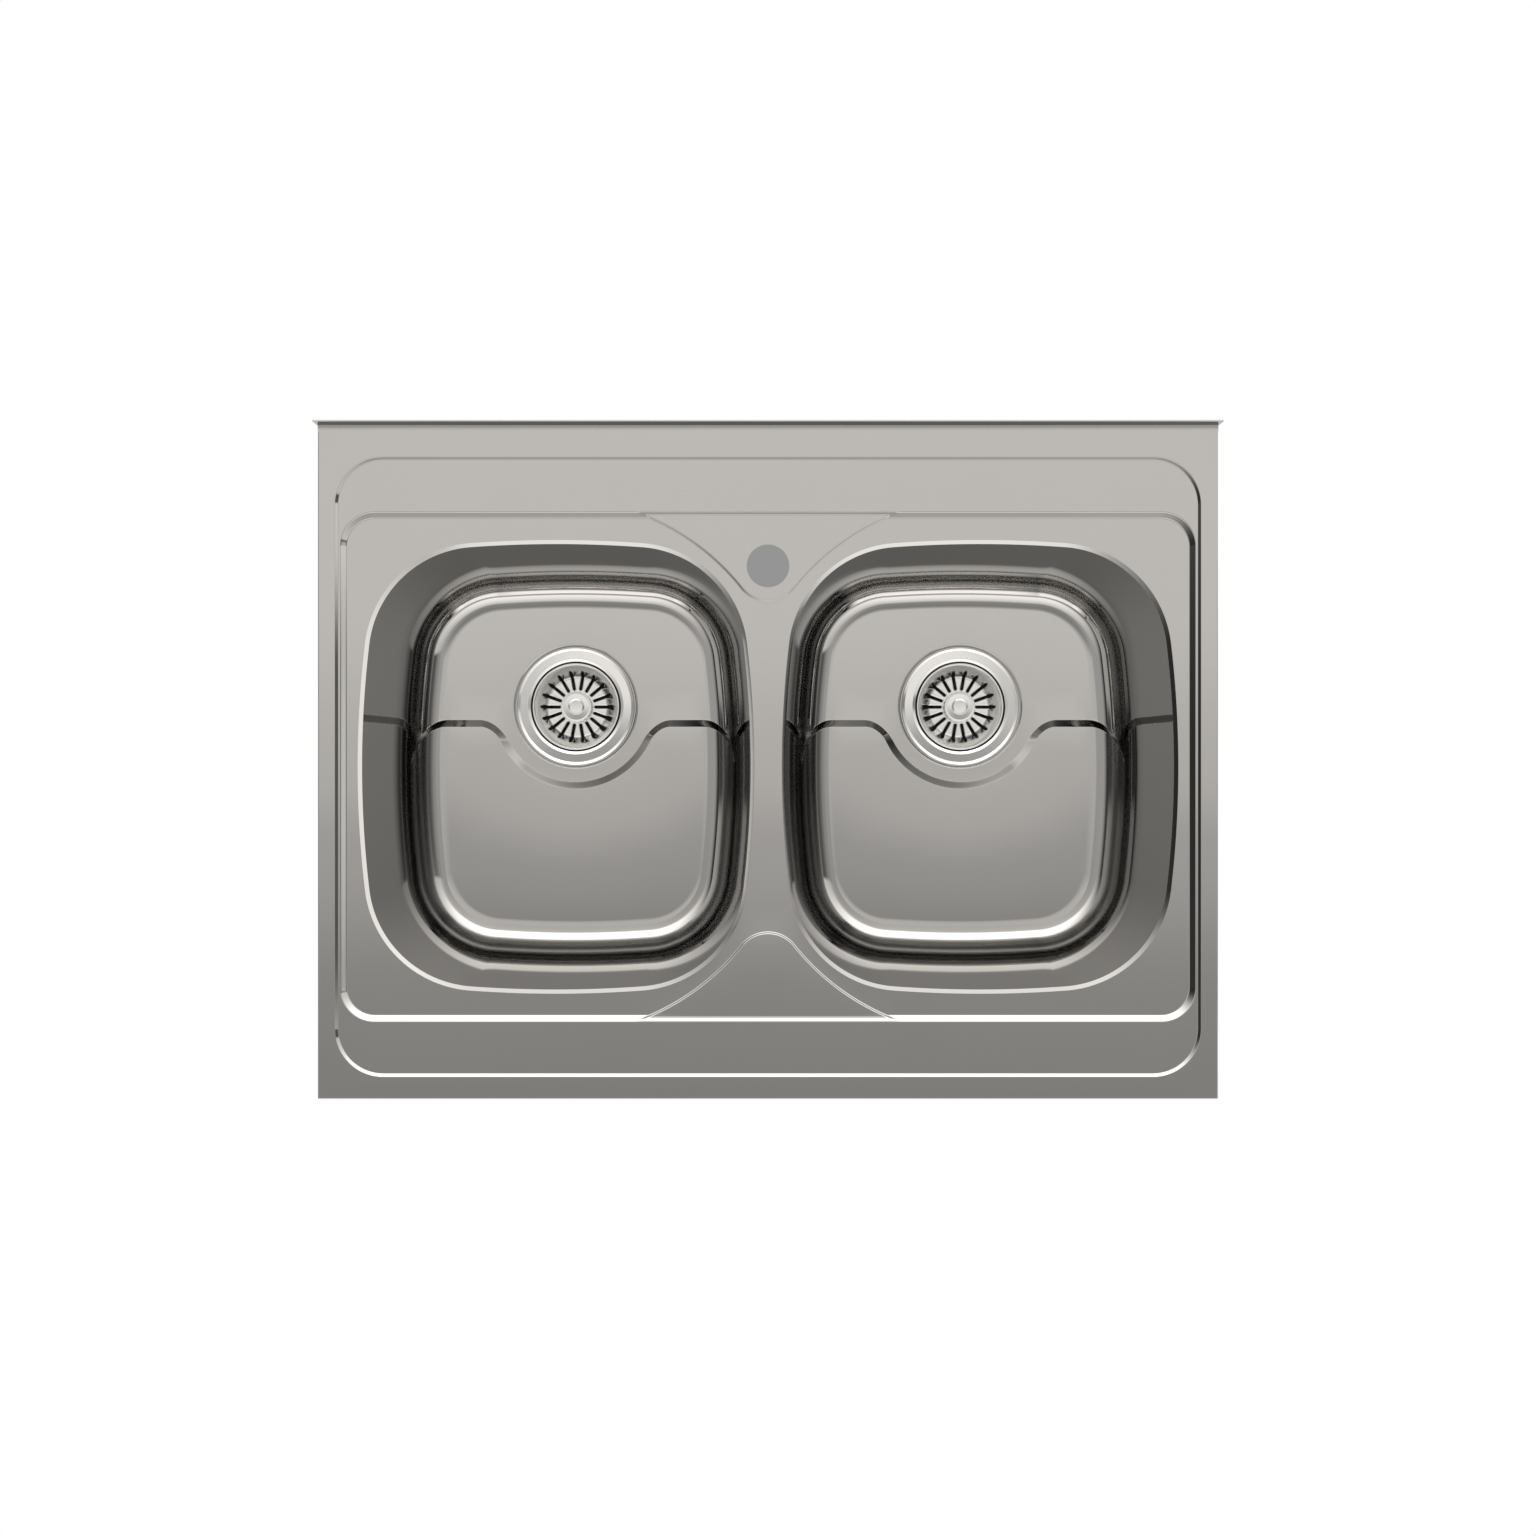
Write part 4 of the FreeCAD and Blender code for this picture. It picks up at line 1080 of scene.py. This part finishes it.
def galvanised():
    """Hot-dipped steel strip, with soft crystals in its zinc."""
    material, tree, shader = new_material("rail_steel", metallic=1.0)
    crystals = tree.nodes.new("ShaderNodeTexVoronoi")
    crystals.inputs["Scale"].default_value = zinc_crystals
    tree.links.new(tree.nodes.new("ShaderNodeTexCoord").outputs["Object"], crystals.inputs["Vector"])
    flake = tree.nodes.new("ShaderNodeSeparateColor")
    tree.links.new(crystals.outputs["Color"], flake.inputs[0])
    dull = noise(tree, (30, 30, 30), detail=5.0)
    tone = calculate(tree, "MULTIPLY_ADD", flake.outputs[0], 0.45, calculate(tree, "MULTIPLY", dull, 0.55))
    coat(tree, shader, tone, zinc_colours, tone, zinc_rough)
    emboss(tree, shader, flake.outputs[0], zinc_raised)
    return material


def dress(material, *nodes):
    """Gives CAD nodes their material."""
    for node in nodes:
        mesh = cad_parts[node].data
        mesh.materials.clear()
        mesh.materials.append(material)


dress(galvanised(), "rear_rail", "front_stiffener", "rear_stiffener", "tap_plate")

# The sound pads: bitumen felt, cut to a rounded rectangle and stuck under the raised part of each
# bowl's floor, where it damps the water's noise.
felt_colours = ((0.012, 0.012, 0.013), (0.07, 0.068, 0.066))
felt_rough = (0.55, 0.9)
felt_raised = 2.5e-4


def bitumen():
    """Pressed bitumen felt, grainy and slightly greasy."""
    material, tree, shader = new_material("sound_pad")
    grain = noise(tree, (900, 900, 900), detail=3.0)
    patch = noise(tree, (45, 45, 45), detail=4.0)
    tone = calculate(tree, "MULTIPLY_ADD", grain, 0.5, calculate(tree, "MULTIPLY", patch, 0.5))
    coat(tree, shader, tone, felt_colours, patch, felt_rough)
    emboss(tree, shader, grain, felt_raised)
    return material


dress(bitumen(), "left_bowl_pad", "right_bowl_pad")

# The seals: a foam ring between each flange and its bowl, a rubber ring between the bowl and its waste
# body, and a rubber disc under the basket, which closes the cup's opening when the knob is pressed.
# All are black, and one moulded look serves them.
rubber_colours = ((0.010, 0.010, 0.011), (0.045, 0.045, 0.048))
rubber_rough = (0.42, 0.68)
rubber_raised = 4e-5


def rubber():
    """Black moulded rubber with a bloom."""
    material, tree, shader = new_material("seal_rubber")
    bloom = noise(tree, (120, 120, 120), detail=6.0)
    skin = noise(tree, (1600, 1600, 1600), detail=2.0)
    coat(tree, shader, bloom, rubber_colours, bloom, rubber_rough)
    emboss(tree, shader, skin, rubber_raised)
    return material


seal_rubber = rubber()
for side in ("left", "right"):
    dress(seal_rubber, side + "_flange_seal", side + "_body_gasket", side + "_stopper_seal")

# The waste bodies: white polypropylene, moulded in one piece with the outlet that a trap screws on to,
# and held up under each bowl by the screw through its middle.
plastic_colours = ((0.72, 0.72, 0.70), (0.84, 0.84, 0.83))
plastic_rough = (0.32, 0.48)
plastic_glow = 0.08
plastic_depth = (0.004, 0.004, 0.004)
plastic_raised = 3e-5


def moulded_plastic():
    """White polypropylene, with the faint flow and sparked texture of its mould."""
    material, tree, shader = new_material("waste_plastic")
    flow = noise(tree, (25, 25, 70), detail=3.0)
    spark = noise(tree, (2200, 2200, 2200), detail=2.0)
    coat(tree, shader, flow, plastic_colours, flow, plastic_rough)
    shader.inputs["Subsurface Weight"].default_value = plastic_glow
    shader.inputs["Subsurface Radius"].default_value = plastic_depth
    emboss(tree, shader, spark, plastic_raised)
    return material


dress(moulded_plastic(), "left_waste_body", "right_waste_body")

# The nuts: turned brass inserts in the hubs of the waste bodies. Each centre screw pulls against its
# nut, and so draws the body up to the bowl.
brass_colours = ((0.48, 0.30, 0.10), (0.80, 0.58, 0.24))
brass_rough = (0.42, 0.2)
brass_raised = 1.2e-5


def brass():
    """Turned brass that has begun to dull."""
    material, tree, shader = new_material("nut_brass", metallic=1.0)
    tarnish = noise(tree, (260, 260, 260), detail=6.0)
    lines = noise(tree, (60, 60, 5200), detail=1.0)
    coat(tree, shader, tarnish, brass_colours, tarnish, brass_rough)
    emboss(tree, shader, lines, brass_raised)
    return material


dress(brass(), "left_centre_nut", "right_centre_nut")

# The centre screws and the baskets' pins: plain stainless bar, turned. A screw clamps flange, bowl and
# body together, and a pin carries its knob and stopper through the basket's floor.
bar_colours = ((0.50, 0.49, 0.47), (0.68, 0.67, 0.65))
bar_rough = (0.36, 0.2)
bar_raised = 1.0e-5


def screw_steel():
    """Plain stainless bar, turned."""
    material, tree, shader = new_material("screw_steel", metallic=1.0)
    lines = noise(tree, (50, 50, 4800), detail=1.0)
    worn = noise(tree, (300, 300, 300), detail=5.0)
    coat(tree, shader, worn, bar_colours, worn, bar_rough)
    emboss(tree, shader, lines, bar_raised)
    return material


bar = screw_steel()
for side in ("left", "right"):
    dress(bar, side + "_centre_screw", side + "_basket_pin")
